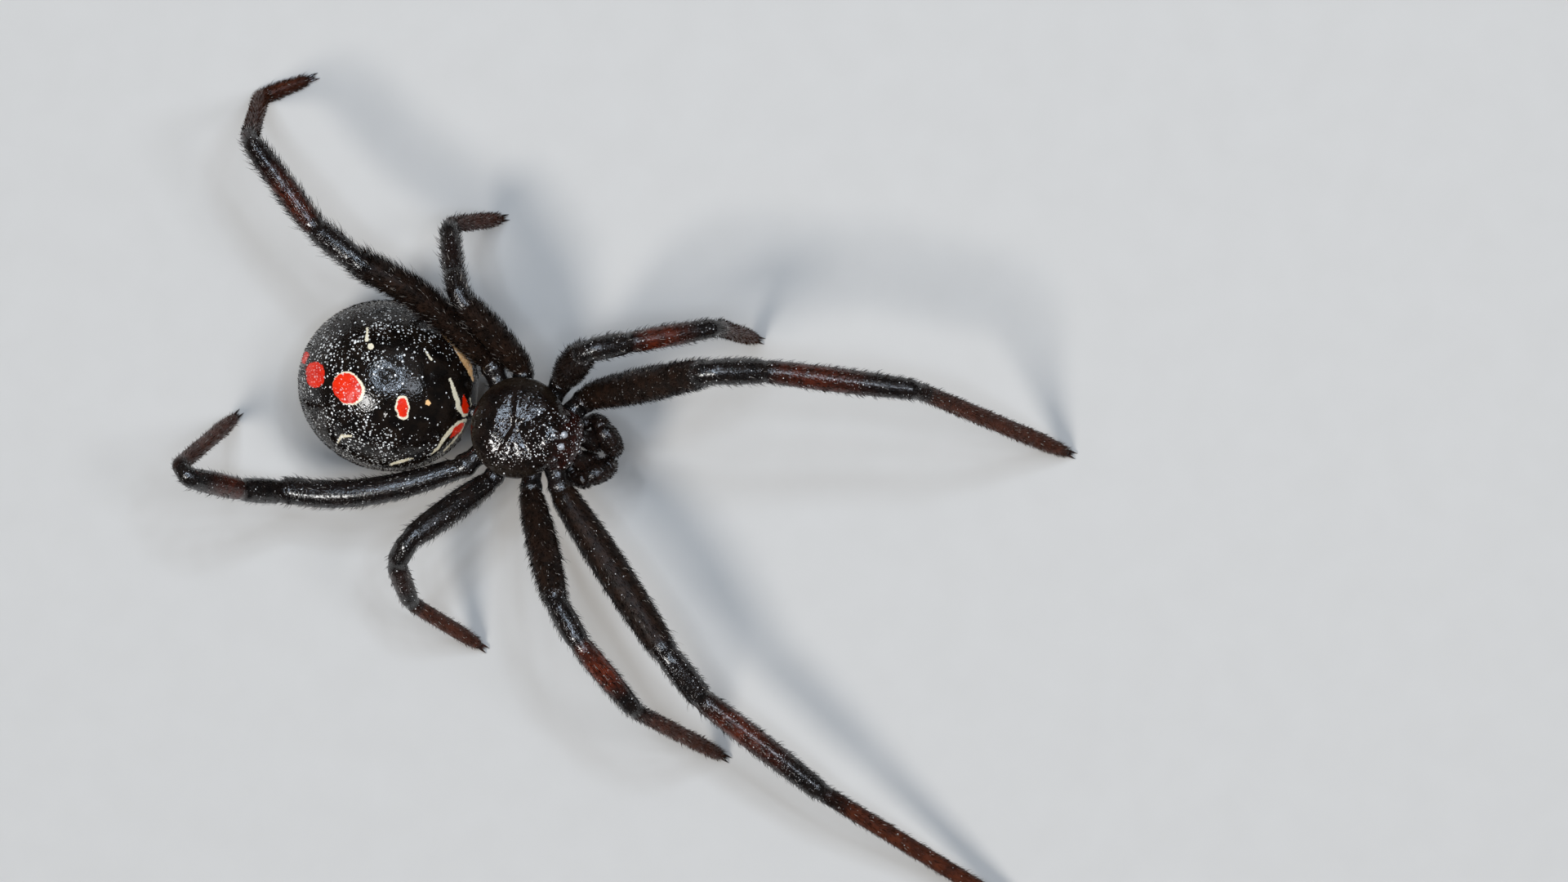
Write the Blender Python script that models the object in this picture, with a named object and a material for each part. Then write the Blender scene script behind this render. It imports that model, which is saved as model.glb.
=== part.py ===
"""A black widow spider at life size, standing still on its eight feet.

The head points to -Y, the spider's left side is +X and the floor is z = 0.
Places on the body are given as (forward, outward, up) from the middle of the carapace,
with "up" measured from the floor. A leg piece's heading is turned outwards from straight
ahead, and its pitch is its rise above level.
"""
import math

import bmesh
import bpy
import numpy
from mathutils import Vector
from mathutils.bvhtree import BVHTree

MM = 0.001

# Clearances between neighbouring pieces; the legs are only 0.5 to 1 mm thick
JOINT_GAP = 0.10 * MM
SPINNERET_GAP = 0.05 * MM
EYE_GAP = 0.02 * MM

# Cephalothorax: a shield above, and the block that carries the legs below
THORAX_CENTRE = -0.32 * MM
THORAX_HALF_LENGTH = 1.34 * MM
THORAX_HALF_WIDTH = 1.50 * MM
HEAD_CENTRE = 0.62 * MM
HEAD_HALF_LENGTH = 1.03 * MM
HEAD_HALF_WIDTH = 0.93 * MM
SHIELD_RIM_HEIGHT = 3.50 * MM
SHIELD_RISE = 0.56 * MM
SHIELD_LIP = 0.09 * MM
SHIELD_FLATNESS = 6
HEAD_RISE = 0.15 * MM
HEAD_RISE_PLACE = 0.80 * MM
HEAD_RISE_HALF_SIZE = 0.52 * MM
FOVEA_DEPTH = 0.13 * MM
FOVEA_PLACE = -0.35 * MM
FOVEA_HALF_SIZE = 0.30 * MM
STERNUM_CENTRE = (0.14 * MM, 0.0, 3.00 * MM)
STERNUM_SIZES = (1.34 * MM, 0.86 * MM, 0.62 * MM)
STERNUM_SQUARENESS = 0.75
FACE_CENTRE = (0.98 * MM, 0.0, 3.54 * MM)
FACE_SIZES = (0.68 * MM, 0.74 * MM, 0.43 * MM)
FACE_SQUARENESS = 0.88
FACE_BLUNTNESS = 2.8

# Abdomen: a globe that hangs a little lower than the cephalothorax
ABDOMEN_CENTRE = (-4.31 * MM, 0.14 * MM, 2.45 * MM)
ABDOMEN_SIZES = (2.66 * MM, 2.49 * MM, 2.30 * MM)
PEDICEL_HEIGHT = 2.95 * MM
PEDICEL_RADIUS = 0.26 * MM
PEDICEL_NARROWING = 0.85
SPINNERET_SLOPE = math.radians(42)
SPINNERET_LENGTH = 0.42 * MM
SPINNERET_RADIUS = 0.14 * MM

# Jaws: each leaves the face's lower half, bends down and ends in a folded fang
CHELICERA_BEARING = (27, -47)
CHELICERA_ROUTE = ((1.76 * MM, 0.31 * MM, 2.86 * MM), (2.02 * MM, 0.32 * MM, 2.46 * MM),
                   (2.02 * MM, 0.29 * MM, 2.04 * MM))
CHELICERA_RADII = (0.17 * MM, 0.23 * MM, 0.26 * MM, 0.14 * MM)
FANG_LENGTH = 0.42 * MM
FANG_RADIUS = 0.07 * MM
# How far jaws and feelers swing towards the spider's left; negative is to its right
JAW_SWING = -0.08 * MM

# Feelers: from beside the mouth round in front of the jaws
PALP_WALL_ANGLE = 27
PALP_ROOT_DROP = 0.42 * MM
PALP_ROOT_GAP = 0.13 * MM
PALP_ROUTE = ((1.80 * MM, 0.87 * MM, 2.64 * MM), (2.28 * MM, 0.68 * MM, 2.90 * MM),
              (2.58 * MM, 0.37 * MM, 2.64 * MM), (2.62 * MM, 0.18 * MM, 2.22 * MM))
PALP_RADII = (0.15 * MM, 0.16 * MM, 0.19 * MM, 0.20 * MM, 0.12 * MM)
PALP_SWELL = 0.12

# Eyes: each one's bearing from the middle of the face, turned outwards and up from level
EYE_RADIUS = 0.095 * MM
EYE_PROUD = 0.05
EYES = {
    "front_middle": (15, 12),
    "front_side": (50, 15),
    "rear_middle": (59, 70),
    "rear_side": (86, 38),
}

# Legs: where the coxae leave the sternum, and where the trochanters end
COXA_WALL_ANGLES = {1: 51, 2: 80, 3: 107, 4: 136}
COXA_ROOT_GAP = 0.13 * MM
COXA_HEIGHT = 2.95 * MM
HIPS = {
    1: (1.45 * MM, 1.45 * MM, 3.10 * MM),
    2: (0.60 * MM, 1.76 * MM, 3.10 * MM),
    3: (-0.64 * MM, 1.74 * MM, 3.10 * MM),
    4: (-1.62 * MM, 1.68 * MM, 3.02 * MM),
}
ARTICLES = ("femur", "patella", "tibia", "metatarsus", "tarsus")
LENGTHS = {
    1: dict(femur=5.75, patella=1.75, tibia=4.55, metatarsus=5.90, tarsus=1.85),
    2: dict(femur=3.95, patella=1.45, tibia=2.80, metatarsus=3.90, tarsus=1.45),
    3: dict(femur=3.20, patella=0.95, tibia=1.65, metatarsus=2.65, tarsus=1.05),
    4: dict(femur=5.35, patella=1.55, tibia=3.30, metatarsus=4.75, tarsus=1.55),
}
# The coxa's radii along its length, with the neck and the ring of the trochanter at its end
COXA_PARTS = (0.0, 0.25, 0.52, 0.66, 0.78, 1.0)
COXA_RADII = (0.26, 0.345, 0.34, 0.30, 0.39, 0.37)
# Radii at the near end, the middle and the far end, for the stoutest leg
RADII = {
    "femur": (0.38, 0.49, 0.38),
    "patella": (0.35, 0.39, 0.34),
    "tibia": (0.33, 0.36, 0.29),
    "metatarsus": (0.25, 0.24, 0.24),
    "tarsus": (0.22, 0.21, 0.13),
}
HIND_FEMUR_RADII = (0.33, 0.43, 0.41)
STOUTNESS = {1: 1.0, 2: 0.90, 3: 0.84, 4: 0.95}
THINNEST_FOOT = 0.92
CORNER_TRIM = 0.34 * MM
OPEN_BEND = 1.3
LEAST_TURN = math.radians(2)
TIP_HEIGHT = 0.10 * MM
CLAW_LENGTH = 0.26 * MM
CLAW_RADIUS = 0.055 * MM
CLAW_SPREAD = 0.09 * MM

# The pose: headings and pitches in degrees. The metatarsus takes the pitch that lands the foot.
LEFT, RIGHT = 1, -1
SIDE_NAMES = {LEFT: "left", RIGHT: "right"}
POSE = {
    (LEFT, 1): dict(femur=(27, 51), patella=(17, -20), tibia=(9, -11),
                    metatarsus=(-6, None), tarsus=(-6, -49)),
    (LEFT, 2): dict(femur=(65, 75), patella=(27, -24), tibia=(26, -21),
                    metatarsus=(1, None), tarsus=(1, -74)),
    (LEFT, 3): dict(femur=(148, 33), patella=(120, -28), tibia=(113, -33),
                    metatarsus=(26, None), tarsus=(26, -62)),
    (LEFT, 4): dict(femur=(159, 26), patella=(158, -10), tibia=(143, -8),
                    metatarsus=(101, None), tarsus=(36, 0)),
    (RIGHT, 1): dict(femur=(41, 8), patella=(36, -15), tibia=(22, -10),
                     metatarsus=(16, None), tarsus=(16, -19)),
    (RIGHT, 2): dict(femur=(60, 35), patella=(44, 14), tibia=(35, -24),
                     metatarsus=(14, None), tarsus=(14, -54)),
    (RIGHT, 3): dict(femur=(128, 26), patella=(104, -29), tibia=(55, -42),
                     metatarsus=(18, None), tarsus=(18, -47)),
    (RIGHT, 4): dict(femur=(157, -8), patella=(168, 43), tibia=(178, 53),
                     metatarsus=(-62, None), tarsus=(-62, -66)),
}
# How far a femur's middle bows outwards and upwards
FEMUR_BOW = {
    (LEFT, 4): (0.26 * MM, 0.34 * MM),
    (RIGHT, 4): (0.33 * MM, 0.10 * MM),
}
USUAL_BOW = (0.0, 0.08 * MM)

# Faceting
LEG_SIDES = 10
ARTICLE_STEPS = {"coxa": 6, "femur": 5, "patella": 3, "tibia": 3, "metatarsus": 3, "tarsus": 3}
BODY_SIDES = 24
ABDOMEN_RINGS = 15
SHARP_ANGLE = 50
SHIELD_RINGS = 15
STERNUM_RINGS = 9
FACE_RINGS = 9

BLACK = (0.012, 0.010, 0.010)
BROWN_BLACK = (0.030, 0.016, 0.011)
RED_BROWN = (0.110, 0.035, 0.018)
EYE_BLACK = (0.004, 0.004, 0.005)


def at(side, forward, outward, up):
    """A place on the body in the part's own axes."""
    return Vector((side * outward, -forward, up))


def bearing(side, heading, pitch):
    """The unit direction of a heading and a pitch in degrees."""
    heading = math.radians(heading)
    pitch = math.radians(pitch)
    level = math.cos(pitch)
    return at(side, math.cos(heading) * level, math.sin(heading) * level, math.sin(pitch))


def through(ends_and_middle, fraction):
    """A smooth value that passes through its near, middle and far values."""
    near, middle, far = ends_and_middle
    bulge = middle - (near + far) / 2
    return near + (far - near) * fraction + 4 * bulge * fraction * (1 - fraction)


def bell(distance, half_size):
    """One at the middle, falling smoothly to nothing."""
    return math.exp(-((distance / half_size) ** 2))


def loft(rings):
    """A closed body through rings of equally many points, with flat ends."""
    body = bmesh.new()
    loops = [[body.verts.new(point) for point in ring] for ring in rings]
    for near, far in zip(loops, loops[1:]):
        count = len(near)
        for i in range(count):
            body.faces.new((near[i], near[(i + 1) % count], far[(i + 1) % count], far[i]))
    body.faces.new(loops[0])
    body.faces.new(loops[-1])
    bmesh.ops.recalc_face_normals(body, faces=body.faces)
    return body


def ring_around(centre, along, side_axis, radius, sides):
    """A circle of points square to a direction."""
    across = (side_axis - along * side_axis.dot(along)).normalized()
    over = along.cross(across)
    turns = [2 * math.pi * i / sides for i in range(sides)]
    return [centre + (across * math.cos(turn) + over * math.sin(turn)) * radius for turn in turns]


def sweep(stations, sides):
    """A round body along stations of (centre, direction, radius)."""
    first = stations[0][1].normalized()
    side_axis = first.cross(Vector((0, 0, 1)))
    if side_axis.length < 0.1:
        side_axis = first.cross(Vector((0, 1, 0)))
    rings = []
    for centre, along, radius in stations:
        along = along.normalized()
        side_axis = (side_axis - along * side_axis.dot(along)).normalized()
        rings.append(ring_around(centre, along, side_axis, radius, sides))
    return loft(rings)


def smooth_stations(points, radii, steps, swell=0.0):
    """Stations on a smooth curve through the points, swollen between them."""
    stations = []
    last = len(points) - 1
    for i in range(last):
        start, end = points[i], points[i + 1]
        leave = (points[i + 1] - points[max(i - 1, 0)]) / 2
        arrive = (points[min(i + 2, last)] - points[i]) / 2
        for k in range(steps + (i == last - 1)):
            t = k / steps
            place = (start * (2 * t**3 - 3 * t**2 + 1) + leave * (t**3 - 2 * t**2 + t)
                     + end * (3 * t**2 - 2 * t**3) + arrive * (t**3 - t**2))
            along = ((start - end) * (6 * t**2 - 6 * t) + leave * (3 * t**2 - 4 * t + 1)
                     + arrive * (3 * t**2 - 2 * t))
            radius = radii[i] + (radii[i + 1] - radii[i]) * t
            stations.append((place, along, radius * (1 + swell * math.sin(math.pi * t))))
    return stations


def finish(node, colour, roughness):
    """A plain finish of the node's own."""
    material = bpy.data.materials.new(node.name + "_finish")
    material.use_nodes = True
    shader = material.node_tree.nodes["Principled BSDF"]
    shader.inputs["Base Color"].default_value = (*colour, 1)
    shader.inputs["Roughness"].default_value = roughness
    shader.inputs["Metallic"].default_value = 0.0
    node.data.materials.clear()
    node.data.materials.append(material)


def make_node(name, body, origin, colour, roughness):
    """An object of its own with its origin at the given place."""
    for vertex in body.verts:
        vertex.co -= origin
    mesh = bpy.data.meshes.new(name)
    body.to_mesh(mesh)
    body.free()
    mesh.shade_smooth()
    mesh.set_sharp_from_angle(angle=math.radians(SHARP_ANGLE))
    node = bpy.data.objects.new(name, mesh)
    node.location = origin
    bpy.context.scene.collection.objects.link(node)
    finish(node, colour, roughness)
    return node


def largest_surface(mesh):
    """Keep only the largest closed surface of a mesh."""
    body = bmesh.new()
    body.from_mesh(mesh)
    waiting = set(body.verts)
    surfaces = []
    while waiting:
        reached = {waiting.pop()}
        front = list(reached)
        while front:
            vertex = front.pop()
            for edge in vertex.link_edges:
                other = edge.other_vert(vertex)
                if other in waiting:
                    waiting.remove(other)
                    reached.add(other)
                    front.append(other)
        surfaces.append(reached)
    surfaces.sort(key=len)
    for scrap in surfaces[:-1]:
        bmesh.ops.delete(body, geom=list(scrap), context="VERTS")
    body.to_mesh(mesh)
    body.free()


def combine(node, bodies, operation):
    """Join or cut a node with closed bodies, in one step."""
    group = bpy.data.collections.new(node.name + "_group")
    bpy.context.scene.collection.children.link(group)
    pieces = []
    for body in bodies:
        mesh = bpy.data.meshes.new("piece")
        body.to_mesh(mesh)
        body.free()
        piece = bpy.data.objects.new("piece", mesh)
        group.objects.link(piece)
        pieces.append(piece)
    boolean = node.modifiers.new("combine", "BOOLEAN")
    boolean.operation = operation
    boolean.operand_type = "COLLECTION"
    boolean.collection = group
    bpy.context.view_layer.update()
    evaluated = node.evaluated_get(bpy.context.evaluated_depsgraph_get())
    combined = bpy.data.meshes.new_from_object(evaluated)
    node.modifiers.clear()
    combined.materials.clear()
    combined.materials.append(node.data.materials[0])
    combined.shade_smooth()
    combined.set_sharp_from_angle(angle=math.radians(SHARP_ANGLE))
    node.data = combined
    for piece in pieces:
        bpy.data.objects.remove(piece)
    bpy.data.collections.remove(group)
    largest_surface(combined)


def keep_above_floor(node):
    """Press whatever would pass the floor into a small flat on it."""
    for vertex in node.data.vertices:
        if node.location.z + vertex.co.z < 0:
            vertex.co.z = -node.location.z


def shield_half_width(forward):
    """The carapace from above: a round thorax that runs into a narrower head."""
    thorax = 1 - ((forward - THORAX_CENTRE) / THORAX_HALF_LENGTH) ** 2
    head = 1 - abs((forward - HEAD_CENTRE) / HEAD_HALF_LENGTH) ** 4
    thorax_width = THORAX_HALF_WIDTH * math.sqrt(max(thorax, 0))
    head_width = HEAD_HALF_WIDTH * max(head, 0) ** 0.4
    return (thorax_width**5 + head_width**5) ** 0.2


def shield_top(forward, outward, half_width):
    """The carapace's height: a low dome, raised at the head, with the pit behind it."""
    rear = THORAX_CENTRE - THORAX_HALF_LENGTH
    front = HEAD_CENTRE + HEAD_HALF_LENGTH
    along = 2 * (forward - rear) / (front - rear) - 1
    dome = SHIELD_RISE * (1 - along**SHIELD_FLATNESS) ** 0.5
    dome += HEAD_RISE * bell(forward - HEAD_RISE_PLACE, HEAD_RISE_HALF_SIZE)
    across = math.sqrt(max(1 - (outward / half_width) ** 2, 0))
    pit = FOVEA_DEPTH * bell(forward - FOVEA_PLACE, FOVEA_HALF_SIZE) * bell(outward, FOVEA_HALF_SIZE)
    return SHIELD_RIM_HEIGHT + dome * across - pit


def shield_body():
    """The carapace as rings from rear to front."""
    rear = THORAX_CENTRE - THORAX_HALF_LENGTH
    front = HEAD_CENTRE + HEAD_HALF_LENGTH
    rings = []
    for i in range(SHIELD_RINGS):
        spacing = math.cos(math.pi * (i + 0.5) / SHIELD_RINGS)
        forward = (rear + front) / 2 - (front - rear) / 2 * spacing
        half_width = shield_half_width(forward)
        ring = []
        for k in range(BODY_SIDES):
            turn = 2 * math.pi * k / BODY_SIDES
            outward = half_width * math.cos(turn)
            if math.sin(turn) >= 0:
                up = shield_top(forward, outward, half_width)
            else:
                up = SHIELD_RIM_HEIGHT + SHIELD_LIP * math.sin(turn)
            ring.append(at(LEFT, forward, outward, up))
        rings.append(ring)
    return loft(rings)


def globe(centre, sizes, ring_count, squareness=1.0, bluntness=2.0):
    """A squashed ball with its poles ahead and behind, which may be squared or blunted."""
    middle = at(LEFT, *centre)
    rings = []
    for i in range(ring_count):
        along = math.cos(math.pi * (i + 0.5) / ring_count)
        reach = (1 - abs(along) ** bluntness) ** (1 / bluntness)
        ring = []
        for k in range(BODY_SIDES):
            turn = 2 * math.pi * k / BODY_SIDES
            outward = math.copysign(abs(math.cos(turn)) ** squareness, math.cos(turn)) * reach
            up = math.copysign(abs(math.sin(turn)) ** squareness, math.sin(turn)) * reach
            ring.append(middle + at(LEFT, along * sizes[0], outward * sizes[1], up * sizes[2]))
        rings.append(ring)
    return loft(rings)


def globe_surface(centre, sizes, slope, turned=0.0):
    """A point on a squashed ball and the direction out of it there."""
    spot = (math.cos(slope) * math.cos(turned), math.cos(slope) * math.sin(turned), math.sin(slope))
    place = at(LEFT, *(middle + size * part for middle, size, part in zip(centre, sizes, spot)))
    normal = at(LEFT, *(part / size for size, part in zip(sizes, spot))).normalized()
    return place, normal


def ball(centre, radius):
    """A small round body."""
    body = bmesh.new()
    bmesh.ops.create_uvsphere(body, u_segments=10, v_segments=6, radius=radius)
    bmesh.ops.translate(body, verts=body.verts, vec=centre)
    return body


def face_place(cephalothorax, side, outward, up):
    """The point of the face on a bearing from its middle, and the directions there and out of it."""
    tree = BVHTree.FromObject(cephalothorax, bpy.context.evaluated_depsgraph_get())
    direction = bearing(side, outward, up)
    hit, normal, _, _ = tree.ray_cast(at(LEFT, *FACE_CENTRE) - cephalothorax.location, direction)
    return hit + cephalothorax.location, direction, normal


def make_cephalothorax():
    """The carapace, the face and the leg-bearing block as one piece, with a cup for each eye."""
    node = make_node("cephalothorax", shield_body(), Vector((0, 0, 0)), BROWN_BLACK, 0.25)
    sternum = globe(STERNUM_CENTRE, STERNUM_SIZES, STERNUM_RINGS, STERNUM_SQUARENESS)
    face = globe(FACE_CENTRE, FACE_SIZES, FACE_RINGS, FACE_SQUARENESS, FACE_BLUNTNESS)
    combine(node, [sternum, face], "UNION")
    bpy.context.view_layer.update()
    return node


def make_eyes(cephalothorax):
    """The eight eyes, each in its cup."""
    places = {}
    for side, side_name in SIDE_NAMES.items():
        for eye_name, (outward, up) in EYES.items():
            surface, direction, _ = face_place(cephalothorax, side, outward, up)
            places["eye_" + eye_name + "_" + side_name] = surface + direction * EYE_RADIUS * EYE_PROUD
    combine(cephalothorax, [ball(place, EYE_RADIUS + EYE_GAP) for place in places.values()], "DIFFERENCE")
    return [make_node(name, ball(place, EYE_RADIUS), place, EYE_BLACK, 0.05)
            for name, place in places.items()]


def make_abdomen():
    """The globe of the abdomen."""
    body = globe(ABDOMEN_CENTRE, ABDOMEN_SIZES, ABDOMEN_RINGS)
    return [make_node("abdomen", body, at(LEFT, *ABDOMEN_CENTRE), BLACK, 0.3)]


def make_pedicel():
    """The short waist between the cephalothorax and the abdomen."""
    slope = math.asin((PEDICEL_HEIGHT - ABDOMEN_CENTRE[2]) / ABDOMEN_SIZES[2])
    behind, outward_normal = globe_surface(ABDOMEN_CENTRE, ABDOMEN_SIZES, slope)
    start = at(LEFT, STERNUM_CENTRE[0] - STERNUM_SIZES[0] - JOINT_GAP, 0, STERNUM_CENTRE[2])
    end = behind + outward_normal * JOINT_GAP
    stations = [
        (start, at(LEFT, -1, 0, 0), PEDICEL_RADIUS),
        ((start + end) / 2, end - start, PEDICEL_RADIUS * PEDICEL_NARROWING),
        (end, -outward_normal, PEDICEL_RADIUS),
    ]
    return [make_node("pedicel", sweep(stations, LEG_SIDES), start, BROWN_BLACK, 0.35)]


def make_spinnerets():
    """A low mound behind and below, with six short fingers."""
    root, outward_normal = globe_surface(ABDOMEN_CENTRE, ABDOMEN_SIZES, -SPINNERET_SLOPE, math.pi)
    across = at(LEFT, 0, 1, 0)
    over = outward_normal.cross(across)
    mound_radius = SPINNERET_RADIUS * 2.6
    start = root + outward_normal * SPINNERET_GAP
    mound = [
        (start, outward_normal, mound_radius),
        (start + outward_normal * SPINNERET_RADIUS, outward_normal, mound_radius * 0.92),
        (start + outward_normal * SPINNERET_RADIUS * 1.6, outward_normal, mound_radius * 0.6),
    ]
    node = make_node("spinnerets", sweep(mound, BODY_SIDES // 2), start, BROWN_BLACK, 0.45)
    fingers = []
    for i in range(6):
        turn = math.radians(30 + 60 * i)
        lean = across * math.cos(turn) + over * math.sin(turn)
        base = lean * SPINNERET_RADIUS * 1.35 + outward_normal * SPINNERET_RADIUS * 0.4
        aim = outward_normal + lean * 0.25
        length = SPINNERET_LENGTH * (1.0 if i % 3 else 0.8)
        stations = [(base + aim * length * part, aim, SPINNERET_RADIUS * thickness)
                    for part, thickness in ((0.0, 1.0), (0.6, 0.9), (1.0, 0.45))]
        fingers.append(sweep(stations, 7))
    for finger in fingers:
        bmesh.ops.translate(finger, verts=finger.verts, vec=start)
    combine(node, fingers, "UNION")
    return [node]


def make_chelicera(cephalothorax, side):
    """One jaw: out of the face, bent down, with its folded fang."""
    root, _, outward_normal = face_place(cephalothorax, side, *CHELICERA_BEARING)
    start = root + outward_normal * JOINT_GAP
    points = [start] + [at(side, *place) + at(LEFT, 0, JAW_SWING, 0) for place in CHELICERA_ROUTE]
    stations = smooth_stations(points, CHELICERA_RADII, 3)
    stations[0] = (start, outward_normal, CHELICERA_RADII[0])
    node = make_node("chelicera_" + SIDE_NAMES[side], sweep(stations, LEG_SIDES), start, BROWN_BLACK, 0.25)
    root = points[-1] + at(side, 0, 0, FANG_RADIUS * 1.5)
    knee = root + at(side, FANG_LENGTH * 0.25, 0, -FANG_LENGTH * 0.45)
    tip = root + at(side, -FANG_LENGTH * 0.45, -FANG_LENGTH * 0.2, -FANG_LENGTH * 0.62)
    radii = (FANG_RADIUS, FANG_RADIUS * 0.8, FANG_RADIUS * 0.2)
    combine(node, [sweep(smooth_stations([root, knee, tip], radii, 2), 6)], "UNION")
    return node


def wall_place(side, angle, height, gap):
    """A place beside the sternum at an angle in degrees from straight ahead."""
    turned = math.radians(angle)
    forward = STERNUM_SIZES[0] * math.cos(turned)
    outward = STERNUM_SIZES[1] * math.sin(turned)
    normal = at(side, forward / STERNUM_SIZES[0]**2, outward / STERNUM_SIZES[1]**2, 0).normalized()
    return at(side, STERNUM_CENTRE[0] + forward, outward, height) + normal * gap


def make_palp(side):
    """One feeler, swollen between its joints."""
    root = wall_place(side, PALP_WALL_ANGLE, COXA_HEIGHT - PALP_ROOT_DROP, PALP_ROOT_GAP)
    points = [root] + [at(side, *place) + at(LEFT, 0, JAW_SWING, 0) for place in PALP_ROUTE]
    body = sweep(smooth_stations(points, PALP_RADII, 4, PALP_SWELL), LEG_SIDES)
    return make_node("palp_" + SIDE_NAMES[side], body, root, BROWN_BLACK, 0.3)


def leg_joints(side, number):
    """The leg's joints from the root of the coxa to the tip of the foot."""
    pose = POSE[side, number]
    lengths = {name: length * MM for name, length in LENGTHS[number].items()}
    root = wall_place(side, COXA_WALL_ANGLES[number], COXA_HEIGHT, COXA_ROOT_GAP)
    joints = [root, at(side, *HIPS[number])]
    tarsus_drop = lengths["tarsus"] * math.sin(math.radians(pose["tarsus"][1]))
    for name in ARTICLES:
        heading, pitch = pose[name]
        if pitch is None:
            drop = TIP_HEIGHT - tarsus_drop - joints[-1].z
            pitch = math.degrees(math.asin(drop / lengths[name]))
        joints.append(joints[-1] + bearing(side, heading, pitch) * lengths[name])
    return joints


def corner(joint, arriving, leaving, half, trim, tightest):
    """Half of a rounded corner as (place, direction), before or after its middle."""
    turn = arriving.angle(leaving, 0.0)
    inward = leaving - arriving * leaving.dot(arriving)
    parts = (0.0, 0.25, 0.5) if half == "first" else (0.5, 0.75, 1.0)
    if turn < LEAST_TURN or inward.length == 0:
        return [(joint + arriving * trim * (2 * part - 1), arriving) for part in parts]
    inward.normalize()
    trim = max(trim, tightest * math.tan(turn / 2))
    bend = trim / math.tan(turn / 2)
    start = joint - arriving * trim
    path = []
    for part in parts:
        angle = turn * part
        place = start + arriving * bend * math.sin(angle) + inward * bend * (1 - math.cos(angle))
        path.append((place, arriving * math.cos(angle) + inward * math.sin(angle)))
    return path


def article_path(joints, index, stout, bow, straight_steps):
    """The middle line of one article, between the middles of its two corners."""
    start, end = joints[index], joints[index + 1]
    along = (end - start).normalized()
    trim = CORNER_TRIM * stout
    path = [(start, along)]
    if index > 0:
        arriving = (start - joints[index - 1]).normalized()
        tightest = OPEN_BEND * RADII[ARTICLES[index - 1]][0] * stout * MM
        path = corner(start, arriving, along, "second", trim, tightest)
    tail = [(end, along)]
    if index + 2 < len(joints):
        leaving = (joints[index + 2] - end).normalized()
        tightest = OPEN_BEND * RADII[ARTICLES[index]][0] * stout * MM
        tail = corner(end, along, leaving, "first", trim, tightest)
    near, far = path[-1][0], tail[0][0]
    for k in range(1, straight_steps + 1):
        t = k / (straight_steps + 1)
        place = near.lerp(far, t) + bow * 4 * t * (1 - t)
        path.append((place, along + bow * 4 * (1 - 2 * t) / (far - near).length))
    return path + tail


def article_stations(path, radius_at, stout, opens_gap, closes_gap):
    """Stations along an article, set back by half the joint gap at each end."""
    if opens_gap:
        path[0] = (path[0][0] + path[0][1].normalized() * JOINT_GAP / 2, path[0][1])
    if closes_gap:
        path[-1] = (path[-1][0] - path[-1][1].normalized() * JOINT_GAP / 2, path[-1][1])
    travelled = [0.0]
    for (before, _), (after, _) in zip(path, path[1:]):
        travelled.append(travelled[-1] + (after - before).length)
    return [(place, along, radius_at(distance / travelled[-1]) * stout * MM)
            for (place, along), distance in zip(path, travelled)]


def coxa_radius(fraction):
    """The radius along a coxa of the stoutest leg, in millimetres."""
    return float(numpy.interp(fraction, COXA_PARTS, COXA_RADII))


def make_claws(tip, along):
    """Two small claws ahead of the foot's tip, just clear of the floor."""
    level = Vector((along.x, along.y, 0)).normalized()
    sideways = level.cross(Vector((0, 0, 1)))
    claws = []
    for spread in (-1, 1):
        root = tip - along * CLAW_RADIUS * 2 + sideways * spread * CLAW_RADIUS * 0.9
        bend = tip + level * CLAW_LENGTH * 0.55 + sideways * spread * CLAW_SPREAD * 0.8
        end = tip + level * CLAW_LENGTH + sideways * spread * CLAW_SPREAD
        bend.z = tip.z * 1.1
        end.z = tip.z * 0.35
        radii = (CLAW_RADIUS, CLAW_RADIUS * 0.75, CLAW_RADIUS * 0.25)
        claws.append(sweep(smooth_stations([root, bend, end], radii, 2), 6))
    return claws


def make_leg(side, number):
    """One leg as coxa, femur, patella, tibia and foot."""
    joints = leg_joints(side, number)
    stout = STOUTNESS[number]
    outward_bow, upward_bow = FEMUR_BOW.get((side, number), USUAL_BOW)
    stem = "leg_" + SIDE_NAMES[side] + "_" + str(number) + "_"
    still = Vector((0, 0, 0))
    nodes = []
    for index, name in enumerate(("coxa", "femur", "patella", "tibia")):
        bow = at(side, 0, outward_bow, upward_bow) if name == "femur" else still
        path = article_path(joints, index, stout, bow, ARTICLE_STEPS[name])
        if name == "coxa":
            stations = article_stations(path, coxa_radius, stout, False, True)
        else:
            radii = HIND_FEMUR_RADII if (number, name) == (4, "femur") else RADII[name]
            stations = article_stations(path, lambda part: through(radii, part), stout, True, True)
        colour = RED_BROWN if name == "tibia" else BLACK
        nodes.append(make_node(stem + name, sweep(stations, LEG_SIDES), joints[index], colour, 0.3))
    nodes.append(make_foot(stem + "foot", joints, number))
    return nodes


def make_foot(name, joints, number):
    """Metatarsus, tarsus and claws as one piece."""
    stout = max(STOUTNESS[number], THINNEST_FOOT)
    still = Vector((0, 0, 0))
    stations = []
    for index, article in ((4, "metatarsus"), (5, "tarsus")):
        radii = RADII[article]
        path = article_path(joints, index, STOUTNESS[number], still, ARTICLE_STEPS[article])
        piece = article_stations(path, lambda part: through(radii, part), stout, index == 4, False)
        stations += piece if index == 4 else piece[1:]
    foot = make_node(name, sweep(stations, LEG_SIDES), joints[4], RED_BROWN, 0.4)
    combine(foot, make_claws(joints[-1], (joints[-1] - joints[-2]).normalized()), "UNION")
    keep_above_floor(foot)
    return foot


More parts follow.
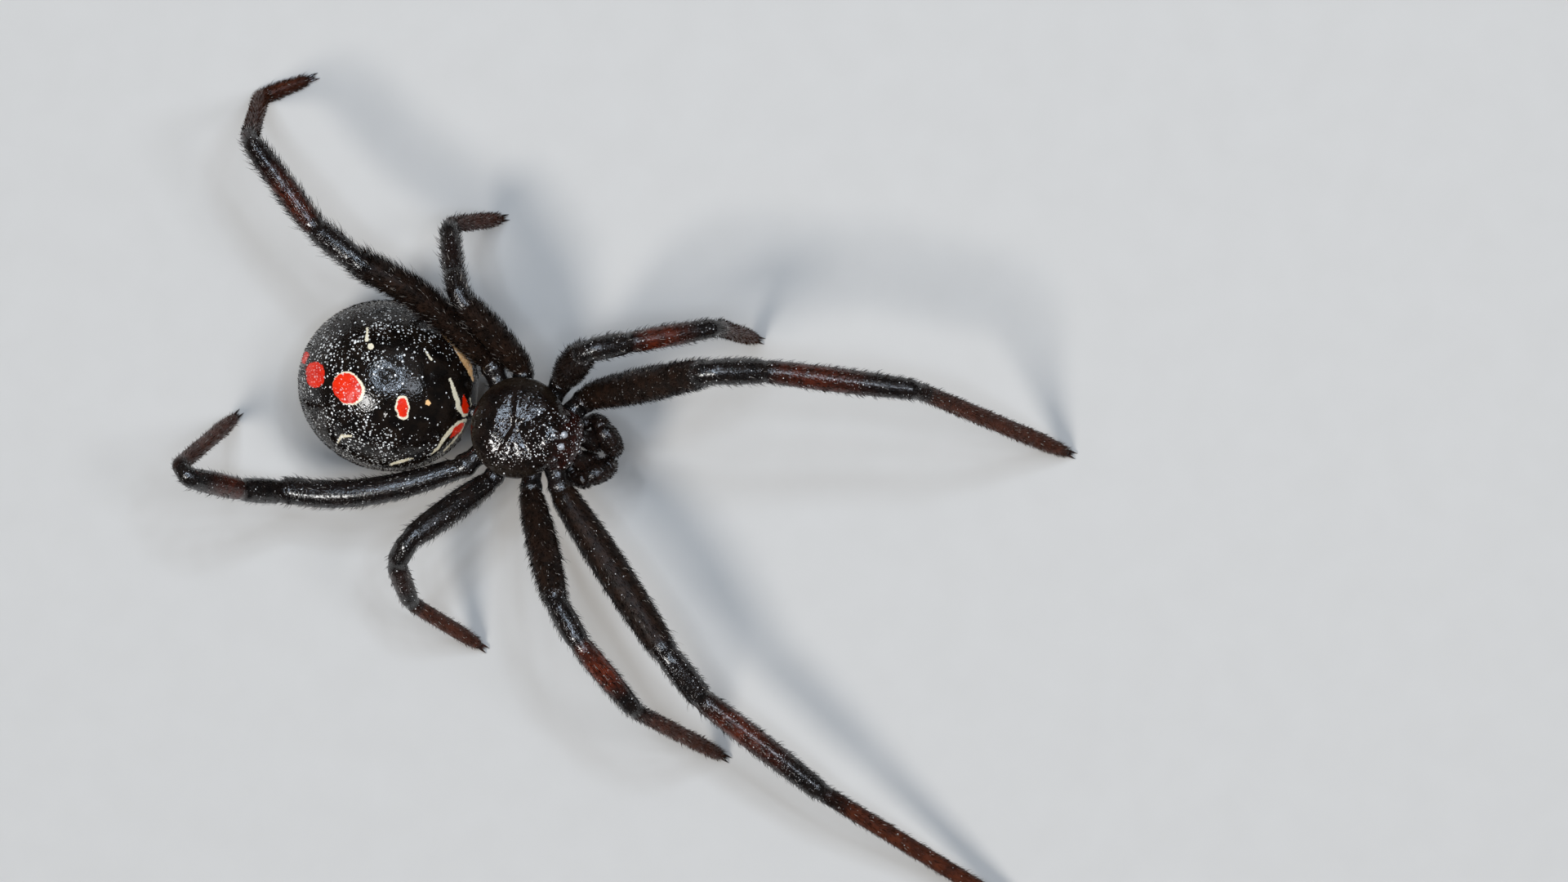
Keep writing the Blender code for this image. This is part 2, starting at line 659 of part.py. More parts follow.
def centre_on_floor(nodes):
    """Hang every node on one empty, so that the spider's box is centred over the origin."""
    spider = bpy.data.objects.new("spider", None)
    bpy.context.scene.collection.objects.link(spider)
    bpy.context.view_layer.update()
    corners = [node.matrix_world @ vertex.co for node in nodes for vertex in node.data.vertices]
    for axis in (0, 1):
        values = [corner_point[axis] for corner_point in corners]
        spider.location[axis] = -(min(values) + max(values)) / 2
    for node in nodes:
        node.parent = spider


def build_spider():
    """The whole spider."""
    cephalothorax = make_cephalothorax()
    jaws = [make_chelicera(cephalothorax, side) for side in SIDE_NAMES]
    nodes = [cephalothorax] + jaws + make_eyes(cephalothorax)
    nodes += make_pedicel() + make_abdomen() + make_spinnerets()
    for side in SIDE_NAMES:
        nodes.append(make_palp(side))
        for number in HIPS:
            nodes += make_leg(side, number)
    centre_on_floor(nodes)


for leftover in list(bpy.data.objects):
    bpy.data.objects.remove(leftover)
build_spider()
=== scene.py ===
"""The looks of a life-size black widow spider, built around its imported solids.

Lengths are in millimetres unless a name says otherwise, and become metres when a piece is made.
Places on the body are (forward, outward, up) from the middle of the carapace, with "up" measured
from the floor; the head points to -Y and the spider's left side is +X. The skins repeat the
driving sizes of the solids, so that they lie where the solids are.
"""
import math

import bpy
import numpy
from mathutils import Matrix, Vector
from mathutils.bvhtree import BVHTree


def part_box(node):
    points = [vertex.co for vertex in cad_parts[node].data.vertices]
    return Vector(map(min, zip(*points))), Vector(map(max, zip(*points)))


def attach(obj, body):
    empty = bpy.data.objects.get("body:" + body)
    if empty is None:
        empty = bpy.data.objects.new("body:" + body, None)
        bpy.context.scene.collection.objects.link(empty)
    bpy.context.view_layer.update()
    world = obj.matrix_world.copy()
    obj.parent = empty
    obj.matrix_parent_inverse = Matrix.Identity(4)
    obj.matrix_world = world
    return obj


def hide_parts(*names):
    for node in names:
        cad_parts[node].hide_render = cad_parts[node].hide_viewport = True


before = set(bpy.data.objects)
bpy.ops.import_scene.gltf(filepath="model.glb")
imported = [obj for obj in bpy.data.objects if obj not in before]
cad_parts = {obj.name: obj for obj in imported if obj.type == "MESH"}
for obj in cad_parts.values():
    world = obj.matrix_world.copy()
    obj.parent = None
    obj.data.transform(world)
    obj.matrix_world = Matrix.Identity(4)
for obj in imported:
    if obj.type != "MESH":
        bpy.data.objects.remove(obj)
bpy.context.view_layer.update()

MM = 0.001
LEFT, RIGHT = 1, -1
SIDE_NAMES = {LEFT: "left", RIGHT: "right"}
SEED = 41


def box_middle(node):
    """The middle and the half sizes of a solid's box, in millimetres."""
    low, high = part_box(node)
    return (low + high) / 2 / MM, (high - low) / 2 / MM


shield_middle, shield_half_size = box_middle("cephalothorax")
HOME = Vector((shield_middle.x, shield_middle.y, 0))

# Cephalothorax, as in the solids
THORAX_CENTRE, THORAX_HALF_LENGTH, THORAX_HALF_WIDTH = -0.32, 1.34, 1.50
HEAD_CENTRE, HEAD_HALF_LENGTH, HEAD_HALF_WIDTH = 0.62, 1.03, 0.93
SHIELD_RIM_HEIGHT, SHIELD_RISE, SHIELD_LIP, SHIELD_FLATNESS = 3.50, 0.56, 0.09, 6
HEAD_RISE, HEAD_RISE_PLACE, HEAD_RISE_HALF_SIZE = 0.15, 0.80, 0.52
FOVEA_PLACE, FOVEA_DEPTH, FOVEA_HALF_SIZE = -0.42, 0.08, 0.26
STERNUM_CENTRE, STERNUM_SIZES, STERNUM_SQUARENESS = (0.14, 0.0, 3.00), (1.34, 0.86, 0.62), 0.75
FACE_CENTRE, FACE_SIZES = (0.98, 0.0, 3.54), (0.68, 0.74, 0.43)
FACE_SQUARENESS, FACE_BLUNTNESS = 0.88, 2.8

# Jaws and feelers, as in the solids
JAW_SWING = -0.08
CHELICERA_ROUTE = ((1.30, 0.24, 3.20), (1.76, 0.31, 2.86), (2.02, 0.32, 2.46), (2.02, 0.29, 2.08))
CHELICERA_RADII = (0.20, 0.26, 0.30, 0.19)
PALP_ROUTE = ((1.20, 0.42, 2.60), (1.80, 0.87, 2.64), (2.23, 0.63, 2.90), (2.53, 0.32, 2.64),
              (2.57, 0.17, 2.22))
PALP_RADII = (0.15, 0.20, 0.26, 0.29, 0.17)

# Legs, as in the solids
COXA_WALL_ANGLES = {1: 51, 2: 80, 3: 107, 4: 136}
COXA_ROOT_SINK = 0.10
COXA_HEIGHT = 2.95
HIPS = {1: (1.45, 1.45, 3.10), 2: (0.60, 1.76, 3.10), 3: (-0.64, 1.74, 3.10), 4: (-1.62, 1.68, 3.02)}
ARTICLES = ("femur", "patella", "tibia", "metatarsus", "tarsus")
LENGTHS = {
    1: (5.75, 1.75, 4.55, 5.90, 1.85),
    2: (3.95, 1.45, 2.80, 3.90, 1.45),
    3: (3.20, 0.95, 1.65, 2.65, 1.05),
    4: (5.35, 1.55, 3.30, 4.75, 1.55),
}
COXA_PARTS = (0.0, 0.25, 0.52, 0.66, 0.78, 1.0)
COXA_RADII = (0.26, 0.345, 0.34, 0.30, 0.39, 0.37)
RADII = {
    "femur": (0.38, 0.49, 0.38),
    "patella": (0.35, 0.39, 0.34),
    "tibia": (0.33, 0.36, 0.29),
    "metatarsus": (0.25, 0.24, 0.24),
    "tarsus": (0.22, 0.21, 0.13),
}
HIND_FEMUR_RADII = (0.33, 0.43, 0.41)
STOUTNESS = {1: 1.0, 2: 0.90, 3: 0.84, 4: 0.95}
THINNEST_FOOT = 0.92
CORNER_TRIM, OPEN_BEND = 0.34, 1.3
LEAST_TURN = math.radians(2)
TIP_HEIGHT = 0.10
# Headings and pitches in degrees; the metatarsus takes the pitch that lands the foot
POSE = {
    (LEFT, 1): ((27, 51), (17, -20), (9, -11), (-6, None), (-6, -49)),
    (LEFT, 2): ((65, 75), (27, -24), (26, -21), (1, None), (1, -74)),
    (LEFT, 3): ((148, 33), (120, -28), (113, -33), (26, None), (26, -62)),
    (LEFT, 4): ((159, 26), (158, -10), (143, -8), (101, None), (36, 0)),
    (RIGHT, 1): ((41, 8), (36, -15), (22, -10), (16, None), (16, -19)),
    (RIGHT, 2): ((60, 35), (44, 14), (35, -24), (14, None), (14, -54)),
    (RIGHT, 3): ((128, 26), (104, -29), (55, -42), (18, None), (18, -47)),
    (RIGHT, 4): ((157, -8), (168, 43), (178, 53), (-62, None), (-62, -66)),
}
FEMUR_BOW = {(LEFT, 4): (0.26, 0.34), (RIGHT, 4): (0.33, 0.10)}
USUAL_BOW = (0.0, 0.08)

# Fineness of the skins
LEG_SIDES = 32
LEG_RING_STEP = 0.05
BODY_VOXEL = 0.028

# Camera: straight above, turned so that the head points right and a little down
CAMERA_HEIGHT = 300.0
CAMERA_FORWARD, CAMERA_LEFT = 7.330, 1.777
CAMERA_TURN = math.radians(16)
SENSOR_WIDTH, VIEW_WIDTH, VIEW_PLANE_HEIGHT = 36.0, 46.08, 3.0
VIEW_UP = Vector((math.cos(CAMERA_TURN), math.sin(CAMERA_TURN), 0))
VIEW_RIGHT = Vector((math.sin(CAMERA_TURN), -math.cos(CAMERA_TURN), 0))


def at(side, forward, outward, up):
    """A place on the body in the frame's own axes, in millimetres."""
    return HOME + Vector((side * outward, -forward, up))


def heading_direction(side, heading, pitch):
    """The unit direction of a heading and a pitch in degrees."""
    heading, pitch = math.radians(heading), math.radians(pitch)
    level = math.cos(pitch)
    return Vector((side * math.sin(heading) * level, -math.cos(heading) * level, math.sin(pitch)))


def bell(distance, half_size):
    """One at the middle, falling smoothly to nothing."""
    return numpy.exp(-((distance / half_size) ** 2))


def ramp(value, low, high):
    """Nothing below low, one above high and smooth between them."""
    part = numpy.clip((value - low) / (high - low), 0, 1)
    return part * part * (3 - 2 * part)


def through(near, middle, far, fraction):
    """A smooth value that passes through its near, middle and far values."""
    bulge = middle - (near + far) / 2
    return near + (far - near) * fraction + 4 * bulge * fraction * (1 - fraction)


# Meshes


def make_mesh(name, points, faces, smooth=True):
    """A mesh in metres from places in millimetres."""
    mesh = bpy.data.meshes.new(name)
    mesh.from_pydata((numpy.asarray(points, float) * MM).tolist(), [], faces)
    if smooth:
        mesh.shade_smooth()
    mesh.update()
    return mesh


def show(mesh, material, nodes=()):
    """Puts a piece into the scene on the one body, in place of the named solids."""
    piece = bpy.data.objects.new(mesh.name, mesh)
    bpy.context.scene.collection.objects.link(piece)
    mesh.materials.clear()
    mesh.materials.append(material)
    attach(piece, "root")
    if nodes:
        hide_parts(*nodes)
    return piece


def store(mesh, name, values, kind="FLOAT"):
    """Keeps a value or a vector of every vertex for the materials."""
    attribute = mesh.attributes.new(name, kind, "POINT")
    flat = numpy.asarray(values, numpy.float32).ravel()
    attribute.data.foreach_set("value" if kind == "FLOAT" else "vector", flat)


def tube_faces(rings, sides):
    """Faces of a tube of rings, closed by a face at each end."""
    faces = []
    for i in range(rings - 1):
        for k in range(sides):
            after = (k + 1) % sides
            faces.append((i * sides + k, i * sides + after, (i + 1) * sides + after, (i + 1) * sides + k))
    faces.append(tuple(reversed(range(sides))))
    faces.append(tuple(range((rings - 1) * sides, rings * sides)))
    return faces


def even_steps(line, step):
    """Evenly spaced places along a line, and how far along it each one lies."""
    line = numpy.asarray(line, float)
    travelled = numpy.concatenate(([0.0], numpy.cumsum(numpy.linalg.norm(numpy.diff(line, axis=0), axis=1))))
    count = max(int(travelled[-1] / step), 4)
    distance = numpy.linspace(0, travelled[-1], count + 1)
    places = numpy.stack([numpy.interp(distance, travelled, line[:, axis]) for axis in range(3)], axis=1)
    return places, distance


def carried_frames(places):
    """The direction at each place of a line, with two directions square to it that don't twist."""
    along = numpy.gradient(places, axis=0)
    along /= numpy.linalg.norm(along, axis=1)[:, None]
    over = numpy.zeros_like(along)
    lift = Vector((0, 0, 1))
    if abs(along[0][2]) > 0.9:
        lift = Vector((0, 1, 0))
    for i, direction in enumerate(along):
        direction = Vector(direction)
        lift = (lift - direction * lift.dot(direction)).normalized()
        over[i] = lift
    return along, numpy.cross(along, over), over


def tube_points(places, across, over, radii, sides, section=None):
    """Rings of points about a line. A section changes the radius around each ring."""
    turns = numpy.arange(sides) * 2 * math.pi / sides
    reach = numpy.repeat(radii[:, None], sides, axis=1)
    if section is not None:
        reach = reach * section(turns)
    ring = (across[:, None, :] * numpy.cos(turns)[None, :, None]
            + over[:, None, :] * numpy.sin(turns)[None, :, None])
    return places[:, None, :] + ring * reach[:, :, None], ring


def smooth_line(points, steps):
    """A smooth curve through points."""
    points = [Vector(point) for point in points]
    last = len(points) - 1
    line = []
    for i in range(last):
        start, end = points[i], points[i + 1]
        leave = (points[i + 1] - points[max(i - 1, 0)]) / 2
        arrive = (points[min(i + 2, last)] - points[i]) / 2
        for k in range(steps + (i == last - 1)):
            t = k / steps
            line.append(start * (2 * t**3 - 3 * t**2 + 1) + leave * (t**3 - 2 * t**2 + t)
                        + end * (3 * t**2 - 2 * t**3) + arrive * (t**3 - t**2))
    return line


def weld(parts, voxel, smoothing):
    """One closed skin over several closed bodies, as points in millimetres and faces."""
    points, faces = [], []
    for body_points, body_faces in parts:
        offset = len(points)
        points += [tuple(point) for point in body_points]
        faces += [tuple(index + offset for index in face) for face in body_faces]
    mesh = bpy.data.meshes.new("welding")
    mesh.from_pydata(points, [], faces)
    holder = bpy.data.objects.new("welding", mesh)
    bpy.context.scene.collection.objects.link(holder)
    remesh = holder.modifiers.new("remesh", "REMESH")
    remesh.mode = "VOXEL"
    remesh.voxel_size = voxel
    relax = holder.modifiers.new("relax", "SMOOTH")
    relax.factor = 0.5
    relax.iterations = smoothing
    bpy.context.view_layer.update()
    welded = bpy.data.meshes.new_from_object(holder.evaluated_get(bpy.context.evaluated_depsgraph_get()))
    bpy.data.objects.remove(holder)
    places = numpy.zeros(len(welded.vertices) * 3, numpy.float32)
    welded.vertices.foreach_get("co", places)
    normals = numpy.zeros(len(welded.vertices) * 3, numpy.float32)
    welded.vertex_normals.foreach_get("vector", normals)
    skin_faces = [tuple(polygon.vertices) for polygon in welded.polygons]
    return places.reshape(-1, 3).astype(float), normals.reshape(-1, 3).astype(float), skin_faces


def globe(centre, sizes, rings, sides, squareness=1.0, bluntness=2.0, side=LEFT):
    """A squashed ball with its poles ahead and behind, which may be squared or blunted."""
    middle = numpy.array(at(side, *centre))
    along = numpy.cos(math.pi * (numpy.arange(rings) + 0.5) / rings)
    reach = (1 - numpy.abs(along) ** bluntness) ** (1 / bluntness)
    turns = 2 * math.pi * numpy.arange(sides) / sides
    outward = numpy.copysign(numpy.abs(numpy.cos(turns)) ** squareness, numpy.cos(turns))
    up = numpy.copysign(numpy.abs(numpy.sin(turns)) ** squareness, numpy.sin(turns))
    points = numpy.zeros((rings, sides, 3))
    points[:, :, 0] = middle[0] + reach[:, None] * outward[None, :] * sizes[1]
    points[:, :, 1] = middle[1] - along[:, None] * sizes[0]
    points[:, :, 2] = middle[2] + reach[:, None] * up[None, :] * sizes[2]
    return points.reshape(-1, 3), tube_faces(rings, sides)


def body_places(points):
    """Forward, left and up of points in the frame's axes."""
    return -(points[:, 1] - HOME.y), points[:, 0] - HOME.x, points[:, 2]


def line_distance(forward, outward, start, end):
    """The distance from a straight line seen from above, and how far along it."""
    start, end = numpy.array(start), numpy.array(end)
    along = end - start
    part = ((forward - start[0]) * along[0] + (outward - start[1]) * along[1]) / along.dot(along)
    part = numpy.clip(part, 0, 1)
    gap = numpy.hypot(forward - start[0] - part * along[0], outward - start[1] - part * along[1])
    return gap, part


# Hair

FLOOR_CLEARANCE = 0.004
MAP_PATCH = 0.003


def make_hairs(name, roots, growth, bend, lengths, widths, places_on_map, values=None):
    """Thin bent spikes with a closed root, joined into one mesh. Each has its patch on the map,
    and its own values for the material."""
    sideways = numpy.cross(growth, bend)
    weak = numpy.linalg.norm(sideways, axis=1) < 1e-6
    sideways[weak] = numpy.cross(growth[weak], [0.31, 0.62, 0.72])
    sideways /= numpy.linalg.norm(sideways, axis=1)[:, None]
    upright = numpy.cross(sideways, growth)
    points = numpy.zeros((len(roots), 7, 3))
    middle = roots + growth * (lengths * 0.5)[:, None]
    tip_growth = growth * 0.80 + bend * 0.60
    tip_growth /= numpy.linalg.norm(tip_growth, axis=1)[:, None]
    for k in range(3):
        turn = 2 * math.pi * k / 3
        spoke = sideways * math.cos(turn) + upright * math.sin(turn)
        points[:, k] = roots + spoke * widths[:, None]
        points[:, 3 + k] = middle + spoke * (widths * 0.72)[:, None]
    points[:, 6] = middle + tip_growth * (lengths * 0.5)[:, None]
    keep = points[:, :, 2].min(axis=1) > FLOOR_CLEARANCE
    points, places_on_map = points[keep], places_on_map[keep]
    quads = numpy.array([(0, 1, 4, 3), (1, 2, 5, 4), (2, 0, 3, 5)])
    triangles = numpy.array([(3, 4, 6), (4, 5, 6), (5, 3, 6), (2, 1, 0)])
    offsets = (numpy.arange(len(points)) * 7)[:, None, None]
    faces = (quads[None] + offsets).reshape(-1, 4).tolist() + (triangles[None] + offsets).reshape(-1, 3).tolist()
    mesh = make_mesh(name, points.reshape(-1, 3), faces)
    corner_vertices = numpy.zeros(len(mesh.loops), numpy.int64)
    mesh.loops.foreach_get("vertex_index", corner_vertices)
    patch = numpy.array([(-1, -1), (0, -1), (1, -1), (-1, 0), (0, 0.2), (1, 0), (0, 1)]) * MAP_PATCH / 2
    spots = places_on_map[:, None, :] + patch[None]
    spots = numpy.clip(spots.reshape(-1, 2), 0.0005, 0.9995)[corner_vertices]
    mesh.uv_layers.new(name="OFBake").data.foreach_set("uv", spots.astype(numpy.float32).ravel())
    for value_name, given in (values or {}).items():
        given = numpy.repeat(given[keep], 7, axis=0)
        store(mesh, value_name, given, "FLOAT" if given.ndim == 1 else "FLOAT_VECTOR")
    return mesh


def jitter(directions, amount, random):
    """Directions, each leaning a little its own way."""
    turned = directions + random.normal(0, amount, directions.shape)
    return turned / numpy.linalg.norm(turned, axis=1)[:, None]


# Shader building


class Recipe:
    """Nodes of one material or effect, added by short calls."""

    def __init__(self, tree):
        self.tree = tree

    def add(self, kind, inputs=None, **settings):
        """A node with its settings, and its inputs linked or set."""
        node = self.tree.nodes.new(kind)
        for name, value in settings.items():
            setattr(node, name, value)
        for name, value in (inputs or {}).items():
            self.feed(node.inputs[name], value)
        return node

    def feed(self, socket, value):
        """Links a socket to another, or sets its value."""
        if isinstance(value, bpy.types.NodeSocket):
            self.tree.links.new(value, socket)
        else:
            socket.default_value = value

    def math(self, operation, first, second=0.0, third=0.0, clamp=False):
        """The result of one sum."""
        node = self.add("ShaderNodeMath", {0: first, 1: second, 2: third}, operation=operation)
        node.use_clamp = clamp
        return node.outputs[0]

    def between(self, value, low, high, start=0.0, end=1.0):
        """A value taken smoothly from one span to another."""
        node = self.add("ShaderNodeMapRange", {"Value": value, "From Min": low, "From Max": high,
                                               "To Min": start, "To Max": end},
                        interpolation_type="SMOOTHSTEP")
        return node.outputs["Result"]

    def mix(self, factor, first, second):
        """One colour laid over another."""
        node = self.add("ShaderNodeMix", data_type="RGBA")
        self.feed(node.inputs[0], factor)
        self.feed(node.inputs[6], first)
        self.feed(node.inputs[7], second)
        return node.outputs[2]

    def vector(self, operation, first, second=None):
        """The result of one sum of vectors."""
        node = self.add("ShaderNodeVectorMath", {0: first}, operation=operation)
        if second is not None:
            self.feed(node.inputs[1], second)
        return node.outputs["Value" if operation in ("DISTANCE", "LENGTH", "DOT_PRODUCT") else "Vector"]

    def noise(self, place, scale, detail=2.0, roughness=0.5):
        """A soft random value, with a grain of so many lumps to the millimetre."""
        node = self.add("ShaderNodeTexNoise", {"Vector": place, "Scale": scale, "Detail": detail,
                                               "Roughness": roughness})
        return node.outputs["Fac"]

    def cells(self, place, scale, feature="F1"):
        """Distance and random colour of scattered cells."""
        node = self.add("ShaderNodeTexVoronoi", {"Vector": place, "Scale": scale}, feature=feature)
        return node.outputs["Distance"], node.outputs["Color"]

    def use(self, effect, **inputs):
        """An effect's node, with its inputs fed."""
        node = self.add("ShaderNodeGroup", node_tree=effect)
        for name, value in inputs.items():
            self.feed(node.inputs[name], value)
        return node


def colour(red, green, blue):
    """A colour with full strength."""
    return (red, green, blue, 1.0)


def new_effect(name, inputs, outputs):
    """An effect that several materials share, with its named sockets."""
    tree = bpy.data.node_groups.new(name, "ShaderNodeTree")
    for socket_name, kind in inputs:
        tree.interface.new_socket(socket_name, in_out="INPUT", socket_type="NodeSocket" + kind)
    for socket_name, kind in outputs:
        tree.interface.new_socket(socket_name, in_out="OUTPUT", socket_type="NodeSocket" + kind)
    recipe = Recipe(tree)
    entry = recipe.add("NodeGroupInput")
    outlet = recipe.add("NodeGroupOutput")
    return tree, recipe, entry.outputs, outlet.inputs


def make_grain_effect():
    """Cuticle grain: fine granules over a slow unevenness of height and tone."""
    tree, recipe, given, result = new_effect(
        "cuticle_grain", [("Place", "Vector"), ("Granules", "Float"), ("Depth", "Float")],
        [("Height", "Float"), ("Tone", "Float")])
    distance, _ = recipe.cells(given["Place"], given["Granules"])
    bead = recipe.between(distance, 0.0, 0.55, 1.0, 0.0)
    fine = recipe.noise(given["Place"], 42.0, 2.0)
    slow = recipe.noise(given["Place"], 2.3, 3.0, 0.6)
    height = recipe.math("MULTIPLY_ADD", bead, given["Depth"], recipe.math("MULTIPLY", fine, 0.35))
    recipe.feed(result["Height"], recipe.math("MULTIPLY_ADD", slow, 0.8, height))
    recipe.feed(result["Tone"], recipe.between(slow, 0.32, 0.70))
    return tree


def make_socket_glint_effect():
    """Hair sockets: small beads for the bump, and painted glints: near-white specks on some of the beads, in drifts."""
    tree, recipe, given, result = new_effect(
        "hair_sockets_and_painted_glints", [("Place", "Vector"), ("Spacing", "Float"), ("Size", "Float"), ("Share", "Float")],
        [("Bead", "Float"), ("Painted Glint", "Float")])
    scale = recipe.math("DIVIDE", 1.0, given["Spacing"])
    distance, random_colour = recipe.cells(given["Place"], scale)
    uneven = recipe.math("SUBTRACT", recipe.noise(given["Place"], 48.0, 1.0), 0.5)
    distance = recipe.math("MULTIPLY_ADD", uneven, 0.32, distance)
    parts = recipe.add("ShaderNodeSeparateColor", {"Color": random_colour})
    own_size = recipe.math("MULTIPLY_ADD", parts.outputs[1], 0.90, 0.40)
    size = recipe.math("MULTIPLY", recipe.math("DIVIDE", given["Size"], given["Spacing"]), own_size)
    spot = recipe.between(recipe.math("DIVIDE", distance, size), 0.7, 1.0, 1.0, 0.0)
    drift = recipe.between(recipe.noise(given["Place"], 1.1, 3.0), 0.38, 0.60, 0.30, 1.50)
    chosen = recipe.math("GREATER_THAN", recipe.math("MULTIPLY", given["Share"], drift), parts.outputs[0])
    bright = recipe.math("MULTIPLY_ADD", recipe.math("POWER", parts.outputs[2], 0.5), 0.85, 0.15)
    # Painted glints: each chosen bead gets a near-white speck in the base colour, brighter or dimmer at random.
    painted_glint = recipe.math("MULTIPLY", recipe.math("MULTIPLY", spot, chosen), bright)
    recipe.feed(result["Painted Glint"], painted_glint)
    recipe.feed(result["Bead"], recipe.between(distance, 0.0, 0.6, 1.0, 0.0))
    return tree


def make_bead_and_glint_effect():
    """Two sizes of hair socket together, each with its painted glints: large specks with finer ones between them."""
    tree, recipe, given, result = new_effect(
        "socket_beads_and_painted_glints", [("Place", "Vector"), ("Share", "Float"), ("Size", "Float")],
        [("Bead", "Float"), ("Painted Glint", "Float")])
    large = recipe.use(SOCKET_GLINTS, Place=given["Place"], Spacing=0.088, Size=given["Size"], Share=given["Share"])
    small = recipe.use(SOCKET_GLINTS, Place=recipe.vector("ADD", given["Place"], (3.1, 1.7, 5.3)), Spacing=0.050,
                       Size=recipe.math("MULTIPLY", given["Size"], 0.55),
                       Share=recipe.math("MULTIPLY", given["Share"], 0.28))
    # The painted glints of both sizes together.
    recipe.feed(result["Painted Glint"], recipe.math("MAXIMUM", large.outputs["Painted Glint"], small.outputs["Painted Glint"]))
    recipe.feed(result["Bead"], large.outputs["Bead"])
    return tree


def make_streak_effect():
    """How far inside a tapering streak between two places a point lies, in millimetres."""
    tree, recipe, given, result = new_effect(
        "streak", [("Place", "Vector"), ("Start", "Vector"), ("End", "Vector"),
                   ("Start Width", "Float"), ("End Width", "Float")],
        [("Inside", "Float")])
    span = recipe.vector("SUBTRACT", given["End"], given["Start"])
    gap = recipe.vector("SUBTRACT", given["Place"], given["Start"])
    part = recipe.math("DIVIDE", recipe.vector("DOT_PRODUCT", gap, span),
                       recipe.math("ADD", recipe.vector("DOT_PRODUCT", span, span), 1e-6), clamp=True)
    node = recipe.add("ShaderNodeVectorMath", {0: span, "Scale": part}, operation="SCALE")
    nearest = recipe.vector("ADD", given["Start"], node.outputs[0])
    distance = recipe.vector("DISTANCE", given["Place"], nearest)
    growth = recipe.math("SUBTRACT", given["End Width"], given["Start Width"])
    width = recipe.math("MULTIPLY_ADD", growth, part, given["Start Width"])
    half = recipe.math("MULTIPLY", width, 0.5)
    recipe.feed(result["Inside"], recipe.math("SUBTRACT", half, distance))
    return tree


GRAIN = make_grain_effect()
SOCKET_GLINTS = make_socket_glint_effect()
BEADS_AND_GLINTS = make_bead_and_glint_effect()
STREAK = make_streak_effect()

# Markings of the abdomen as streaks seen from above: (forward, left) of the start and the end
# from the abdomen's middle, with the full width at both
ABDOMEN_MIDDLE, ABDOMEN_HALF_SIZE = box_middle("abdomen")
ABDOMEN_HALF_LENGTH, ABDOMEN_HALF_WIDTH, ABDOMEN_HALF_HEIGHT = 2.66, 2.49, 2.30
PALE_MARKS = [
    # Rims of the second and third spots
    ((-1.10, -0.34), (-0.95, -0.44), 0.84, 0.86),
    ((0.59, -0.32), (0.65, -0.50), 0.34, 0.43),
    ((0.65, -0.50), (0.72, -0.68), 0.43, 0.33),
    # The two drawn-out marks in front: their thick inner edges, then their thin outer ones
    ((1.74, 0.68), (1.94, 0.40), 0.07, 0.12),
    ((1.94, 0.40), (2.12, 0.12), 0.12, 0.14),
    ((2.12, 0.12), (2.22, -0.08), 0.14, 0.15),
    ((2.22, -0.08), (2.40, -0.22), 0.15, 0.10),
    ((2.40, -0.22), (2.53, -0.16), 0.10, 0.06),
    ((2.53, -0.16), (2.54, 0.06), 0.06, 0.05),
    ((2.54, 0.06), (2.44, 0.30), 0.05, 0.02),
    ((2.49, -0.33), (2.32, -0.49), 0.06, 0.13),
    ((2.32, -0.49), (2.14, -0.79), 0.13, 0.12),
    ((2.14, -0.79), (2.02, -1.07), 0.12, 0.10),
    ((2.02, -1.07), (1.94, -1.34), 0.10, 0.08),
    ((1.94, -1.34), (1.80, -1.57), 0.08, 0.04),
    ((2.49, -0.34), (2.44, -0.72), 0.05, 0.04),
    ((2.44, -0.72), (2.28, -1.08), 0.04, 0.05),
    ((2.28, -1.08), (2.12, -1.38), 0.05, 0.03),
    # Lines and dots round the globe
    ((1.31, -1.86), (1.02, -2.02), 0.03, 0.09),
    ((1.02, -2.02), (0.74, -2.20), 0.09, 0.05),
    ((-0.74, 0.96), (-0.74, 0.95), 0.18, 0.18),
    ((-1.00, 1.46), (-0.91, 1.12), 0.06, 0.11),
    ((-0.93, -2.01), (-0.86, -1.80), 0.04, 0.10),
    ((-0.86, -1.80), (-0.60, -1.72), 0.10, 0.06),
    ((0.81, 1.30), (1.06, 1.09), 0.02, 0.07),
]
ORANGE_MARKS = [
    ((1.31, -0.15), (1.33, -0.16), 0.16, 0.16),
    ((1.10, 1.90), (1.56, 1.68), 0.04, 0.12),
    ((1.56, 1.68), (1.90, 1.43), 0.12, 0.23),
    ((1.90, 1.43), (2.16, 1.16), 0.23, 0.18),
    ((2.16, 1.16), (2.37, 0.82), 0.18, 0.04),
]
RED_MARKS = [
    ((-2.13, -0.20), (-2.07, -0.38), 0.58, 0.56),
    ((-2.54, 0.20), (-2.57, 0.02), 0.18, 0.18),
    ((-1.12, -0.37), (-1.00, -0.46), 0.80, 0.77),
    ((0.60, -0.34), (0.65, -0.50), 0.25, 0.335),
    ((0.65, -0.50), (0.71, -0.66), 0.335, 0.24),
    ((2.25, 0.32), (2.36, 0.06), 0.04, 0.21),
    ((2.36, 0.06), (2.41, -0.08), 0.21, 0.18),
    ((2.42, -0.50), (2.32, -0.70), 0.12, 0.20),
    ((2.32, -0.70), (2.20, -0.96), 0.20, 0.03),
]
HOURGLASS = [((0.95, 0.0), (0.25, 0.0), 1.20, 0.30), ((0.25, 0.0), (-0.55, 0.0), 0.30, 1.30)]


def on_globe(forward, left, below=False):
    """A place on the abdomen's surface, from its middle, under a place seen from above."""
    rest = 1 - (forward / ABDOMEN_HALF_LENGTH) ** 2 - (left / ABDOMEN_HALF_WIDTH) ** 2
    height = ABDOMEN_HALF_HEIGHT * math.sqrt(max(rest, 0.0))
    return (left, -forward, -height if below else height)


